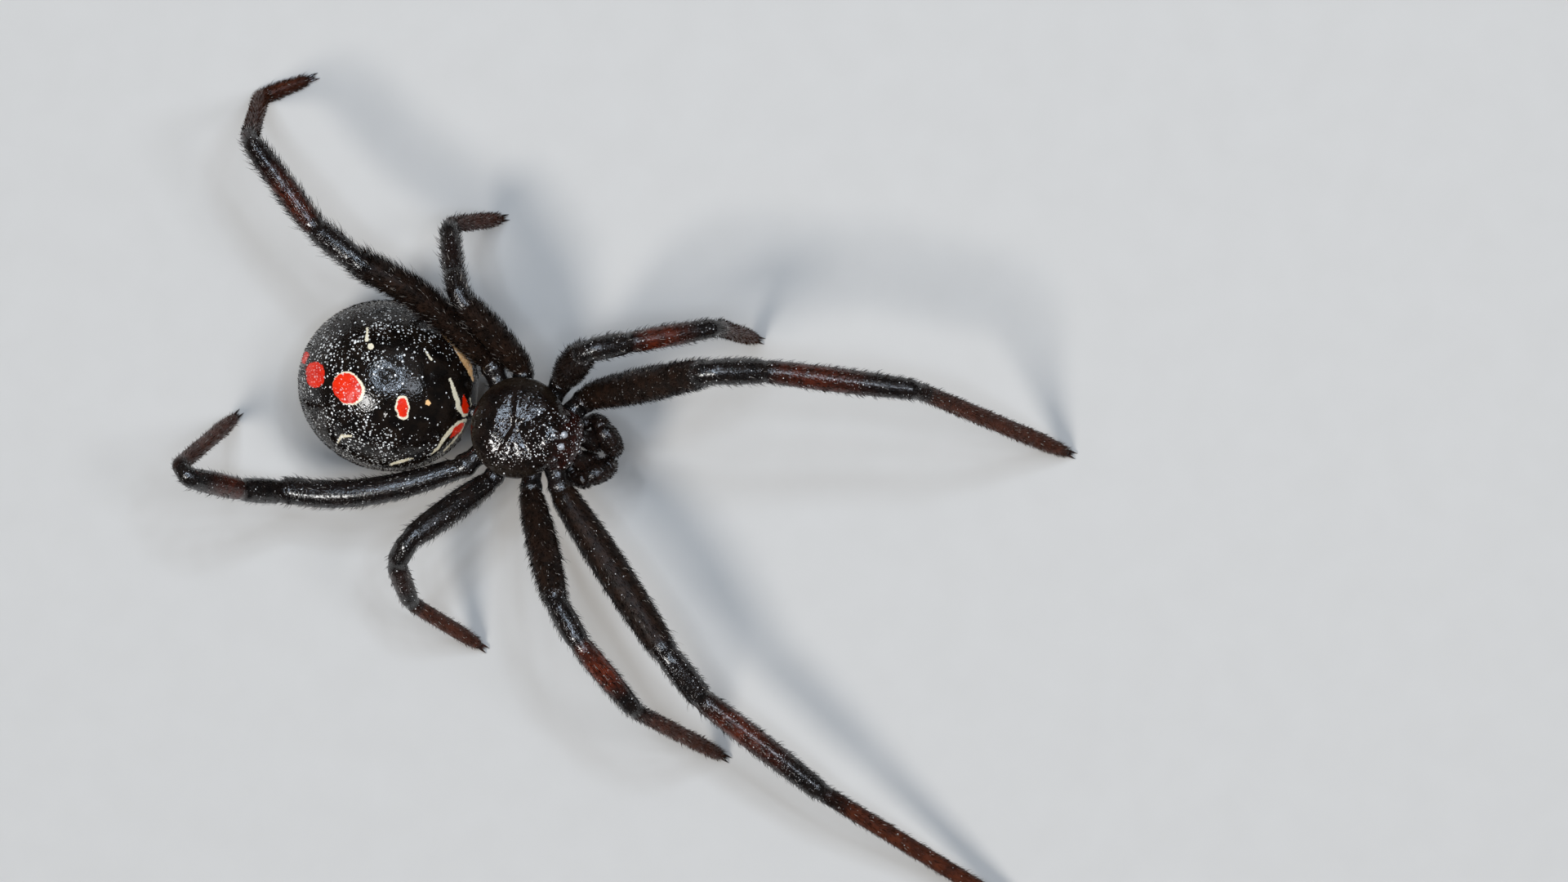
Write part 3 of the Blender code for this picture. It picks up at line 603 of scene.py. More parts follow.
def make_marks_effect():
    """The abdomen's markings: how strongly a point is red, cream and orange."""
    tree, recipe, given, result = new_effect(
        "abdomen_markings", [("Place", "Vector")], [("Red", "Float"), ("Cream", "Float"), ("Orange", "Float")])
    fray = recipe.math("SUBTRACT", recipe.noise(given["Place"], 6.0, 3.0, 0.6), 0.5)
    fine_fray = recipe.math("SUBTRACT", recipe.noise(given["Place"], 24.0, 1.0), 0.5)
    fray = recipe.math("MULTIPLY_ADD", fine_fray, 0.05, recipe.math("MULTIPLY", fray, 0.08))
    height = recipe.add("ShaderNodeSeparateXYZ", {0: given["Place"]}).outputs["Z"]
    above = recipe.between(height, 0.0, 0.1)
    plan = recipe.vector("MULTIPLY", given["Place"], (1.0, 1.0, 0.0))

    def union(marks, side):
        total = None
        for start, end, start_width, end_width in marks:
            streak = recipe.use(STREAK, Place=plan, Start=(start[1], -start[0], 0.0),
                                End=(end[1], -end[0], 0.0))
            streak.inputs["Start Width"].default_value = start_width
            streak.inputs["End Width"].default_value = end_width
            inside = streak.outputs["Inside"]
            total = inside if total is None else recipe.math("MAXIMUM", total, inside)
        return recipe.math("MULTIPLY", recipe.between(recipe.math("ADD", total, fray), -0.010, 0.015), side)

    below = recipe.math("SUBTRACT", 1.0, above)
    red = recipe.math("MAXIMUM", union(RED_MARKS, above), union(HOURGLASS, below))
    recipe.feed(result["Red"], red)
    recipe.feed(result["Cream"], union(PALE_MARKS, above))
    recipe.feed(result["Orange"], union(ORANGE_MARKS, above))
    return tree


MARKS = make_marks_effect()


def new_material(name, coat=0.0, coat_roughness=0.1, specular=0.5):
    """A material with its shader, and the recipe to add nodes to it."""
    material = bpy.data.materials.new(name)
    material.use_nodes = True
    recipe = Recipe(material.node_tree)
    shader = material.node_tree.nodes["Principled BSDF"]
    shader.inputs["Coat Weight"].default_value = coat
    shader.inputs["Coat Roughness"].default_value = coat_roughness
    shader.inputs["Specular IOR Level"].default_value = specular
    return material, recipe, shader


def millimetre_place(recipe):
    """Where a point lies on the model, in millimetres."""
    place = recipe.add("ShaderNodeTexCoord").outputs["Object"]
    scaled = recipe.add("ShaderNodeVectorMath", {0: place, "Scale": 1 / MM}, operation="SCALE")
    return scaled.outputs[0]


def raised(recipe, height, distance, strength=1.0):
    """A surface normal that follows a height, with its full height in millimetres."""
    bump = recipe.add("ShaderNodeBump", {"Height": height, "Distance": distance * MM, "Strength": strength})
    return bump.outputs["Normal"]


def make_abdomen_material():
    """Glossy black with red spots rimmed in cream, and painted glints: near-white specks on the hair sockets, fewer in
    front and over the red.
    """
    material, recipe, shader = new_material("abdomen_cuticle", specular=0.38)
    place = recipe.add("ShaderNodeAttribute", attribute_name="place").outputs["Vector"]
    marks = recipe.use(MARKS, Place=place)
    grain = recipe.use(GRAIN, Place=place, Granules=12.0, Depth=1.0)
    plan = recipe.vector("MULTIPLY", place, (1.0, 1.0, 0.0))
    bare = recipe.use(STREAK, Place=plan, Start=(0.0, -0.7, 0.0), End=(0.0, -2.4, 0.0))
    share = recipe.between(bare.outputs["Inside"], -1.8, -0.5, 0.78, 0.09)
    backward = recipe.add("ShaderNodeSeparateXYZ", {0: place}).outputs["Y"]
    share = recipe.math("MULTIPLY", share, recipe.between(backward, -1.7, 0.5, 0.45, 1.0))
    beads_and_glints = recipe.use(BEADS_AND_GLINTS, Place=place, Share=share, Size=0.034)
    unmarked = recipe.math("MULTIPLY_ADD", marks.outputs["Red"], -0.5, 1.0)
    painted_glint = recipe.math("MULTIPLY", beads_and_glints.outputs["Painted Glint"], unmarked)
    ground = recipe.mix(grain.outputs["Tone"], colour(0.0030, 0.0022, 0.0018), colour(0.0110, 0.0066, 0.0042))
    tinted = recipe.mix(marks.outputs["Cream"], ground, colour(0.82, 0.72, 0.52))
    tinted = recipe.mix(marks.outputs["Orange"], tinted, colour(0.95, 0.56, 0.25))
    red = recipe.mix(grain.outputs["Tone"], colour(0.80, 0.024, 0.0010), colour(0.60, 0.010, 0.0008))
    tinted = recipe.mix(marks.outputs["Red"], tinted, red)
    # Painted glints: the chosen sockets' specks turn near-white in the base colour.
    tinted = recipe.mix(painted_glint, tinted, colour(0.97, 0.95, 0.91))
    recipe.feed(shader.inputs["Base Color"], tinted)
    marked = recipe.math("MAXIMUM", marks.outputs["Cream"], marks.outputs["Red"])
    wet = recipe.math("MULTIPLY_ADD", grain.outputs["Tone"], 0.04, 0.06)
    recipe.feed(shader.inputs["Roughness"], recipe.math("MULTIPLY_ADD", marked, 0.25, wet))
    height = recipe.math("MULTIPLY_ADD", beads_and_glints.outputs["Bead"], 1.2, grain.outputs["Height"])
    recipe.feed(shader.inputs["Normal"], raised(recipe, height, 0.0024))
    return material


def make_abdomen_hair_material():
    """Black hairs with the markings' colours over the spots, and a few painted pale as glints."""
    material, recipe, shader = new_material("abdomen_hair", specular=0.0)
    place = recipe.add("ShaderNodeAttribute", attribute_name="place").outputs["Vector"]
    pale = recipe.add("ShaderNodeAttribute", attribute_name="pale").outputs["Fac"]
    marks = recipe.use(MARKS, Place=place)
    tinted = recipe.mix(marks.outputs["Cream"], colour(0.010, 0.0065, 0.0045), colour(0.66, 0.56, 0.38))
    tinted = recipe.mix(marks.outputs["Orange"], tinted, colour(0.66, 0.34, 0.12))
    tinted = recipe.mix(marks.outputs["Red"], tinted, colour(0.70, 0.02, 0.003))
    # Painted glints: the few hairs with the highest pale value are painted pale grey.
    tinted = recipe.mix(recipe.between(pale, 0.96, 0.98), tinted, colour(0.62, 0.56, 0.47))
    recipe.feed(shader.inputs["Base Color"], tinted)
    shader.inputs["Roughness"].default_value = 0.5
    return material


def make_carapace_material():
    """Dark, wet-looking shield, dull brown at its margin and red-brown and granular on the face, with painted glints:
    near-white specks, mostly on the head.
    """
    material, recipe, shader = new_material("carapace_cuticle", specular=0.6)
    place = millimetre_place(recipe)
    rim = recipe.add("ShaderNodeAttribute", attribute_name="rim").outputs["Fac"]
    front = recipe.add("ShaderNodeAttribute", attribute_name="front").outputs["Fac"]
    head = recipe.add("ShaderNodeAttribute", attribute_name="head").outputs["Fac"]
    grain = recipe.use(GRAIN, Place=place, Granules=9.0, Depth=2.4)
    share = recipe.math("MULTIPLY_ADD", head, 0.66, 0.04)
    beads_and_glints = recipe.use(BEADS_AND_GLINTS, Place=place, Share=share, Size=0.027)
    ground = recipe.mix(grain.outputs["Tone"], colour(0.0034, 0.0021, 0.0016), colour(0.0110, 0.0054, 0.0034))
    ground = recipe.mix(recipe.math("MULTIPLY", rim, 0.7), ground, colour(0.0150, 0.0098, 0.0058))
    blotch = recipe.between(recipe.noise(place, 5.0, 3.0, 0.6), 0.35, 0.65, 0.15, 0.75)
    ground = recipe.mix(recipe.math("MULTIPLY", front, blotch), ground, colour(0.034, 0.0056, 0.0032))
    # Painted glints: the chosen granules' specks turn near-white in the base colour.
    tinted = recipe.mix(beads_and_glints.outputs["Painted Glint"], ground, colour(0.92, 0.89, 0.86))
    recipe.feed(shader.inputs["Base Color"], tinted)
    wet = recipe.math("MULTIPLY_ADD", grain.outputs["Tone"], 0.05, 0.09)
    recipe.feed(shader.inputs["Roughness"], recipe.math("MULTIPLY_ADD", rim, 0.10, wet))
    height = recipe.math("MULTIPLY_ADD", beads_and_glints.outputs["Bead"], 0.5, grain.outputs["Height"])
    recipe.feed(shader.inputs["Normal"], raised(recipe, height, 0.0045))
    return material


def make_body_material(name, dark, light, roughness, depth):
    """Granular brown-black cuticle of the smaller parts, with painted glints: a few granules painted near-white."""
    material, recipe, shader = new_material(name, specular=0.5)
    place = millimetre_place(recipe)
    grain = recipe.use(GRAIN, Place=place, Granules=13.0, Depth=0.8)
    beads_and_glints = recipe.use(BEADS_AND_GLINTS, Place=place, Share=0.22, Size=0.018)
    ground = recipe.mix(grain.outputs["Tone"], dark, light)
    # Painted glints: near-white specks laid over the cuticle colour.
    recipe.feed(shader.inputs["Base Color"], recipe.mix(beads_and_glints.outputs["Painted Glint"], ground, colour(0.80, 0.77, 0.72)))
    recipe.feed(shader.inputs["Roughness"], recipe.math("MULTIPLY_ADD", grain.outputs["Tone"], 0.12, roughness))
    height = recipe.math("MULTIPLY_ADD", beads_and_glints.outputs["Bead"], 0.7, grain.outputs["Height"])
    recipe.feed(shader.inputs["Normal"], raised(recipe, height, depth))
    return material


def make_leg_colour_effect():
    """Colour along a leg, from the coxa at 0 to the foot's tip at 6: black, with a red-brown band
    near the tibia's base and dark red-brown feet."""
    tree, recipe, given, result = new_effect(
        "leg_colours", [("Along", "Float"), ("Place", "Vector"), ("Rust", "Float"), ("Matt", "Float")],
        [("Colour", "Color")])
    wander = recipe.math("MULTIPLY_ADD", recipe.noise(given["Place"], 1.6, 2.0), 0.24, -0.12)
    where = recipe.math("ADD", given["Along"], wander)
    tone = recipe.between(recipe.noise(given["Place"], 3.0, 3.0, 0.6), 0.35, 0.68)
    black = recipe.mix(tone, colour(0.0040, 0.0030, 0.0027), colour(0.0100, 0.0062, 0.0048))
    brown_black = recipe.mix(tone, colour(0.0090, 0.0052, 0.0035), colour(0.0220, 0.0108, 0.0064))
    rust = recipe.mix(tone, colour(0.150, 0.0240, 0.0080), colour(0.058, 0.0115, 0.0055))
    maroon = recipe.mix(tone, colour(0.076, 0.0190, 0.0080), colour(0.0400, 0.0115, 0.0060))
    femur = recipe.math("MULTIPLY", recipe.between(where, 0.85, 1.10), recipe.between(where, 1.98, 1.86))
    femur = recipe.math("MULTIPLY", femur, given["Matt"])
    band = recipe.math("MULTIPLY", recipe.between(where, 2.96, 3.24), recipe.between(where, 3.80, 3.34))
    foot = recipe.math("MULTIPLY", recipe.between(where, 3.98, 4.22), recipe.between(where, 6.15, 5.60))
    tinted = recipe.mix(femur, black, brown_black)
    tinted = recipe.mix(recipe.math("MULTIPLY", band, given["Rust"]), tinted, rust)
    recipe.feed(result["Colour"], recipe.mix(foot, tinted, maroon))
    return tree


def make_leg_material(name, specular):
    """Finely granular cuticle: matt femora and feet, glossy knees and shins, with painted glints: near-white specks,
    fewer on the matt parts.
    """
    material, recipe, shader = new_material(name, specular=specular)
    place = millimetre_place(recipe)
    along = recipe.add("ShaderNodeAttribute", attribute_name="along").outputs["Fac"]
    rust = recipe.add("ShaderNodeAttribute", attribute_name="rust").outputs["Fac"]
    matt = recipe.add("ShaderNodeAttribute", attribute_name="matt").outputs["Fac"]
    tint = recipe.use(LEG_COLOURS, Along=along, Place=place, Rust=rust, Matt=matt)
    grain = recipe.use(GRAIN, Place=place, Granules=20.0, Depth=1.6)
    femur = recipe.math("MULTIPLY", recipe.between(along, 1.02, 1.14), recipe.between(along, 1.97, 1.88))
    matte = recipe.math("MULTIPLY", femur, matt)
    foot = recipe.between(along, 4.02, 4.25)
    dull = recipe.math("MAXIMUM", matte, recipe.math("MULTIPLY", foot, 0.8))
    share = recipe.math("MULTIPLY_ADD", dull, -0.20, 0.34)
    beads_and_glints = recipe.use(BEADS_AND_GLINTS, Place=place, Share=share, Size=0.018)
    # Painted glints: near-white specks laid over the leg's colours.
    recipe.feed(shader.inputs["Base Color"],
                recipe.mix(beads_and_glints.outputs["Painted Glint"], tint.outputs["Colour"], colour(0.85, 0.82, 0.79)))
    wet = recipe.math("MULTIPLY_ADD", recipe.between(recipe.noise(place, 4.0, 2.0), 0.3, 0.7), 0.08, 0.09)
    recipe.feed(shader.inputs["Roughness"], recipe.math("MULTIPLY_ADD", dull, 0.30, wet))
    height = recipe.math("MULTIPLY_ADD", beads_and_glints.outputs["Bead"], 0.6, grain.outputs["Height"])
    recipe.feed(shader.inputs["Normal"], raised(recipe, height, 0.0036))
    return material


def make_leg_hair_material():
    """Black bristles, red-brown towards the feet, the odd one painted pale as a glint."""
    material, recipe, shader = new_material("leg_hair", specular=0.0)
    place = millimetre_place(recipe)
    along = recipe.add("ShaderNodeAttribute", attribute_name="along").outputs["Fac"]
    pale = recipe.add("ShaderNodeAttribute", attribute_name="pale").outputs["Fac"]
    foot = recipe.between(along, 4.0, 4.6)
    tone = recipe.between(recipe.noise(place, 9.0, 1.0), 0.40, 0.66)
    dark = recipe.mix(tone, colour(0.0050, 0.0034, 0.0028), colour(0.0180, 0.0098, 0.0066))
    brown = recipe.mix(tone, colour(0.0260, 0.0094, 0.0046), colour(0.0640, 0.0205, 0.0090))
    tinted = recipe.mix(foot, dark, brown)
    # Painted glints: the few hairs with the highest pale value are painted pale grey.
    tinted = recipe.mix(recipe.between(pale, 0.93, 0.97), tinted, colour(0.42, 0.37, 0.32))
    recipe.feed(shader.inputs["Base Color"], tinted)
    shader.inputs["Roughness"].default_value = 0.5
    return material


def make_body_hair_material():
    """Near-black bristles of jaws, feelers and carapace."""
    material, recipe, shader = new_material("body_hair", specular=0.0)
    place = millimetre_place(recipe)
    tone = recipe.between(recipe.noise(place, 9.0, 1.0), 0.40, 0.66)
    recipe.feed(shader.inputs["Base Color"], recipe.mix(tone, colour(0.0055, 0.0042, 0.0036),
                                                        colour(0.0260, 0.0150, 0.0105)))
    shader.inputs["Roughness"].default_value = 0.5
    return material


def make_lens_material(name, dark, light):
    """Smoky eye lenses under a clear coat."""
    material, recipe, shader = new_material(name, coat=1.0, coat_roughness=0.02, specular=0.8)
    place = millimetre_place(recipe)
    cloud = recipe.between(recipe.noise(place, 10.0, 2.0), 0.35, 0.7)
    recipe.feed(shader.inputs["Base Color"], recipe.mix(cloud, dark, light))
    shader.inputs["Roughness"].default_value = 0.15
    return material


def make_horn_material():
    """Shiny black horn of claws and fangs, red-brown where it is thin."""
    material, recipe, shader = new_material("horn", coat=0.8, coat_roughness=0.08)
    place = millimetre_place(recipe)
    tone = recipe.between(recipe.noise(place, 6.0, 2.0), 0.35, 0.7)
    recipe.feed(shader.inputs["Base Color"], recipe.mix(tone, colour(0.006, 0.004, 0.0035),
                                                        colour(0.042, 0.012, 0.007)))
    grain = recipe.use(GRAIN, Place=place, Granules=24.0, Depth=0.4)
    recipe.feed(shader.inputs["Normal"], raised(recipe, grain.outputs["Height"], 0.004))
    shader.inputs["Roughness"].default_value = 0.2
    return material


LEG_COLOURS = make_leg_colour_effect()
ABDOMEN_SKIN = make_abdomen_material()
ABDOMEN_HAIR = make_abdomen_hair_material()
SHIELD_SKIN = make_carapace_material()
JAW_SKIN = make_body_material("jaw_cuticle", colour(0.0045, 0.0030, 0.0024), colour(0.0150, 0.0070, 0.0048),
                              0.16, 0.010)
SOFT_SKIN = make_body_material("spinneret_cuticle", colour(0.0110, 0.0070, 0.0055),
                               colour(0.0400, 0.0230, 0.0160), 0.30, 0.010)
LEG_SKIN = make_leg_material("leg_cuticle", 0.6)
MATT_LEG_SKIN = make_leg_material("matt_leg_cuticle", 0.12)
LEG_HAIR = make_leg_hair_material()
BODY_HAIR = make_body_hair_material()
DARK_LENS = make_lens_material("dark_lens", colour(0.012, 0.008, 0.007), colour(0.055, 0.042, 0.038))
# Pale pearly grey: partly the rear middle eyes' own silvery colour, partly a painted reflection.
PEARLY_LENS = make_lens_material("pearly_lens", colour(0.24, 0.24, 0.25), colour(0.52, 0.52, 0.54))
HORN = make_horn_material()


# Cephalothorax


def shield_half_width(forward):
    """The carapace from above: a round thorax that runs into a narrower head."""
    thorax = numpy.maximum(1 - ((forward - THORAX_CENTRE) / THORAX_HALF_LENGTH) ** 2, 0)
    head = numpy.maximum(1 - numpy.abs((forward - HEAD_CENTRE) / HEAD_HALF_LENGTH) ** 4, 0)
    width = (THORAX_HALF_WIDTH * numpy.sqrt(thorax)) ** 5 + (HEAD_HALF_WIDTH * head**0.4) ** 5
    return width**0.2


def shield_body(rings, sides):
    """The carapace as rings from rear to front, with its pit and its raised head."""
    rear = THORAX_CENTRE - THORAX_HALF_LENGTH
    front = HEAD_CENTRE + HEAD_HALF_LENGTH
    spacing = numpy.cos(math.pi * (numpy.arange(rings) + 0.5) / rings)
    forward = (rear + front) / 2 - (front - rear) / 2 * spacing
    half_width = shield_half_width(forward)
    turns = 2 * math.pi * numpy.arange(sides) / sides
    outward = half_width[:, None] * numpy.cos(turns)[None]
    along = 2 * (forward - rear) / (front - rear) - 1
    dome = SHIELD_RISE * (1 - along**SHIELD_FLATNESS) ** 0.5
    dome += HEAD_RISE * bell(forward - HEAD_RISE_PLACE, HEAD_RISE_HALF_SIZE)
    across = numpy.maximum(numpy.sin(turns), 0)
    pit = FOVEA_DEPTH * bell(forward - FOVEA_PLACE, FOVEA_HALF_SIZE)[:, None] * bell(outward, FOVEA_HALF_SIZE)
    top = SHIELD_RIM_HEIGHT + dome[:, None] * across[None] - pit
    lower = SHIELD_RIM_HEIGHT + SHIELD_LIP * numpy.sin(turns)[None] + 0 * outward
    points = numpy.zeros((rings, sides, 3))
    points[:, :, 0] = HOME.x + outward
    points[:, :, 1] = HOME.y - forward[:, None]
    points[:, :, 2] = numpy.where(numpy.sin(turns)[None] >= 0, top, lower)
    return points.reshape(-1, 3), tube_faces(rings, sides)


# Grooves of the carapace from above, as (start, end, depth, half width) on both sides
SHIELD_GROOVES = [
    ((-0.25, 0.12), (0.72, 0.98), 0.042, 0.120),
    ((-0.30, 0.34), (0.02, 1.36), 0.015, 0.080),
    ((-0.40, 0.34), (-0.52, 1.40), 0.015, 0.080),
    ((-0.50, 0.26), (-1.18, 0.96), 0.015, 0.080),
    ((-0.50, 0.00), (-0.66, 0.75), 0.060, 0.120),
]
REAR_SLOPE_SHARE, SIDE_SLOPE_SHARE = 0.46, 0.26
# The low ridge behind the cross furrow
RIDGE_START, RIDGE_END, RIDGE_RISE, RIDGE_HALF_WIDTH = (-1.04, 0.0), (-1.00, 0.80), 0.07, 0.20
HEAD_DOME_PLACE, HEAD_DOME_LENGTH, HEAD_DOME_WIDTH, HEAD_DOME_RISE = 0.62, 0.44, 0.60, 0.09
LABIUM = ((1.20, 0.0, 2.50), (0.24, 0.26, 0.13))
ENDITE = ((1.34, 0.27, 2.52), (0.40, 0.19, 0.20))


def sculpt_shield(points, normals):
    """Presses the grooves into the carapace and the plates into the underside."""
    forward, left, up = body_places(points)
    outward = numpy.abs(left)
    above = ramp(up, SHIELD_RIM_HEIGHT + 0.06, SHIELD_RIM_HEIGHT + 0.22)
    sink = numpy.zeros(len(points))
    for start, end, depth, half_width in SHIELD_GROOVES:
        gap, part = line_distance(forward, outward, start, end)
        sink = numpy.maximum(sink, depth * bell(gap, half_width) * (1 - 0.55 * part))
    half_width = numpy.maximum(shield_half_width(forward), 0.2)
    margin = bell(outward / half_width - 0.93, 0.035) * 0.008
    below = ramp(2.80 - up, 0.0, 0.12)
    plate = numpy.hypot((forward - 0.10) / 1.12, outward / 0.70)
    seam = bell(plate - 0.97, 0.05) * 0.035
    mouth_gap, _ = line_distance(forward, outward, (1.02, 0.0), (1.02, 0.42))
    seam = numpy.maximum(seam, bell(mouth_gap, 0.05) * 0.04)
    dome = HEAD_DOME_RISE * bell(forward - HEAD_DOME_PLACE, HEAD_DOME_LENGTH) * bell(outward, HEAD_DOME_WIDTH)
    gap, part = line_distance(forward, outward, RIDGE_START, RIDGE_END)
    ridge = RIDGE_RISE * bell(gap, RIDGE_HALF_WIDTH) * (1 - 0.4 * part)
    slope = REAR_SLOPE_SHARE * ramp(-forward, 0.35, 1.35) + SIDE_SLOPE_SHARE * (outward / half_width) ** 2
    fall = slope * numpy.maximum(up - SHIELD_RIM_HEIGHT, 0)
    moved = (sink + margin - dome - ridge) * above * numpy.clip(normals[:, 2] * 1.5, 0, 1) + seam * below
    moved_points = points - normals * moved[:, None]
    moved_points[:, 2] -= fall
    return moved_points


def shield_masks(points):
    """How far each point belongs to the carapace's dull margin, the red-brown face and the head."""
    forward, left, up = body_places(points)
    part = numpy.abs(left) / numpy.maximum(shield_half_width(forward), 0.2)
    above = ramp(up, SHIELD_RIM_HEIGHT - 0.25, SHIELD_RIM_HEIGHT)
    tail = ramp(-forward, 1.28, 1.50)
    rim = numpy.maximum(ramp(part, 0.74, 0.88), tail) * above * ramp(0.75 - forward, 0.0, 0.3)
    front = ramp(forward, 0.75, 1.20) * ramp(up, 2.9, 3.3)
    head = ramp(forward, -0.45, 0.45) * ramp(0.95 - numpy.abs(left), 0.0, 0.35) * ramp(up, 3.4, 3.7)
    return rim, front, head


def make_cephalothorax():
    """Carapace, face, mouth parts and sternum as one skin."""
    parts = [shield_body(90, 160), globe(STERNUM_CENTRE, STERNUM_SIZES, 60, 120, STERNUM_SQUARENESS),
             globe(FACE_CENTRE, FACE_SIZES, 60, 120, FACE_SQUARENESS, FACE_BLUNTNESS),
             globe(*LABIUM, 30, 48)]
    parts += [globe(*ENDITE, 30, 48, side=side) for side in SIDE_NAMES]
    points, normals, faces = weld(parts, BODY_VOXEL, 8)
    mesh = make_mesh("cephalothorax_skin", sculpt_shield(points, normals), faces)
    for name, values in zip(("rim", "front", "head"), shield_masks(points)):
        store(mesh, name, values)
    return show(mesh, SHIELD_SKIN, ["cephalothorax"])


def surface_tree(piece):
    """A search tree of a piece's surface, in metres."""
    return BVHTree.FromObject(piece, bpy.context.evaluated_depsgraph_get())


def make_lenses():
    """Eight domed lenses where the solids have the eyes."""
    for end in ("front", "rear"):
        for place in ("middle", "side"):
            for side_name in SIDE_NAMES.values():
                name = "_".join((end, place, side_name))
                centre, half_size = box_middle("eye_" + name)
                # The rear middle eyes get the pearly lens: partly their own silvery colour, partly a painted
                # reflection.
                pearly = (end, place) == ("rear", "middle")
                points, faces = round_ball(centre, half_size.x * (1.28 if pearly else 1.08), 24, 16)
                lens = PEARLY_LENS if pearly else DARK_LENS
                show(make_mesh("lens_" + name, points, faces), lens, ["eye_" + name])


def round_ball(centre, radius, sides, rings):
    """Points and faces of a small ball."""
    points = []
    for i in range(rings):
        slope = math.pi * (i + 0.5) / rings
        for k in range(sides):
            turn = 2 * math.pi * k / sides
            points.append((centre[0] + radius * math.sin(slope) * math.cos(turn),
                           centre[1] + radius * math.sin(slope) * math.sin(turn),
                           centre[2] - radius * math.cos(slope)))
    return points, tube_faces(rings, sides)


# Abdomen


def make_abdomen():
    """The glossy globe, with the dimples where muscles pull it in and a furrow underneath."""
    rings, sides = 150, 220
    sizes = (ABDOMEN_HALF_LENGTH, ABDOMEN_HALF_WIDTH, ABDOMEN_HALF_HEIGHT)
    forward_part = numpy.cos(math.pi * (numpy.arange(rings) + 0.5) / rings)
    reach = numpy.sqrt(1 - forward_part**2)
    turns = 2 * math.pi * numpy.arange(sides) / sides
    unit = numpy.zeros((rings, sides, 3))
    unit[:, :, 0] = reach[:, None] * numpy.cos(turns)[None]
    unit[:, :, 1] = -forward_part[:, None]
    unit[:, :, 2] = reach[:, None] * numpy.sin(turns)[None]
    unit = unit.reshape(-1, 3)
    place = unit * numpy.array((sizes[1], sizes[0], sizes[2]))
    inward = numpy.zeros(len(unit))
    for forward, outward in ((1.15, 0.62), (0.15, 0.80), (-0.80, 0.66)):
        for side in SIDE_NAMES:
            spot = numpy.array(on_globe(forward, side * outward))
            inward += 0.035 * bell(numpy.linalg.norm(place - spot, axis=1), 0.11)
    furrow = numpy.array(on_globe(1.15, 0.0, True))
    bend = (place[:, 1] - furrow[1]) - 0.12 * place[:, 0] ** 2
    inward += 0.03 * bell(bend, 0.07) * ramp(-place[:, 2], 1.2, 1.8)
    place = place - unit * inward[:, None]
    middle = numpy.array(ABDOMEN_MIDDLE)
    mesh = make_mesh("abdomen_skin", place + middle, tube_faces(rings, sides))
    store(mesh, "place", place, "FLOAT_VECTOR")
    show(mesh, ABDOMEN_SKIN, ["abdomen"])
    return place


def make_abdomen_hair():
    """Short hairs that lie back over the globe."""
    random = numpy.random.default_rng(SEED)
    normals = random.normal(size=(17500, 3))
    normals /= numpy.linalg.norm(normals, axis=1)[:, None]
    sparse = random.random(len(normals)) < ramp(normals[:, 2], 0.4, 0.8) * 0.8
    normals = normals[(normals[:, 1] > -0.93) & ~sparse]
    count = len(normals)
    sizes = numpy.array((ABDOMEN_HALF_WIDTH, ABDOMEN_HALF_LENGTH, ABDOMEN_HALF_HEIGHT))
    place = normals * sizes
    outward = place / sizes**2
    outward /= numpy.linalg.norm(outward, axis=1)[:, None]
    back = numpy.array((0.0, 1.0, -0.15)) - outward * (outward @ numpy.array((0.0, 1.0, -0.15)))[:, None]
    back /= numpy.linalg.norm(back, axis=1)[:, None] + 1e-6
    growth = jitter(outward * 0.62 + back * 0.78, 0.16, random)
    lengths = random.uniform(0.05, 0.11, count)
    widths = random.uniform(0.0045, 0.0075, count)
    turn = numpy.arctan2(normals[:, 2], normals[:, 0]) / (2 * math.pi) + 0.5
    map_places = numpy.stack([0.01 + 0.98 * turn, 0.5 + 0.49 * normals[:, 1]], axis=1)
    roots = place * 0.997 + numpy.array(ABDOMEN_MIDDLE)
    # The pale value picks the few hairs painted pale as glints.
    values = {"place": place, "pale": random.random(count)}
    mesh = make_hairs("abdomen_coat", roots, growth, back, lengths, widths, map_places, values)
    show(mesh, ABDOMEN_HAIR)


def make_waist():
    """The short stalk between the two halves of the body."""
    middle, half_size = box_middle("pedicel")
    line = [Vector((middle.x, middle.y + reach, middle.z + lift))
            for reach, lift in ((-0.42, 0.04), (-0.15, 0.02), (0.05, 0.0), (0.25, -0.02), (0.50, -0.03))]
    places, distance = even_steps(smooth_line(line, 8), 0.03)
    _, across, over = carried_frames(places)
    part = distance / distance[-1]
    radii = 0.30 - 0.06 * numpy.sin(math.pi * part) + 0.012 * numpy.cos(part * 40)
    points, _ = tube_points(places, across, over, radii, 40)
    mesh = make_mesh("pedicel_skin", points.reshape(-1, 3), tube_faces(len(places), 40))
    show(mesh, JAW_SKIN, ["pedicel"])


def solid_faces(node):
    """A solid's points in millimetres and its faces."""
    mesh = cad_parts[node].data
    points = [tuple(vertex.co / MM) for vertex in mesh.vertices]
    return points, [tuple(polygon.vertices) for polygon in mesh.polygons]


def make_spinnerets():
    """The mound and its six fingers as one soft skin."""
    middle, half_size = box_middle("spinnerets")
    abdomen = numpy.array(ABDOMEN_MIDDLE)
    toward = (abdomen - numpy.array(middle)) / numpy.linalg.norm(abdomen - numpy.array(middle))
    root = numpy.array(middle) + toward * 0.22
    points, faces = round_ball(root, 0.40, 48, 32)
    points, normals, faces = weld([solid_faces("spinnerets"), (points, faces)], 0.02, 6)
    mesh = make_mesh("spinneret_skin", points, faces)
    show(mesh, SOFT_SKIN, ["spinnerets"])


# Legs


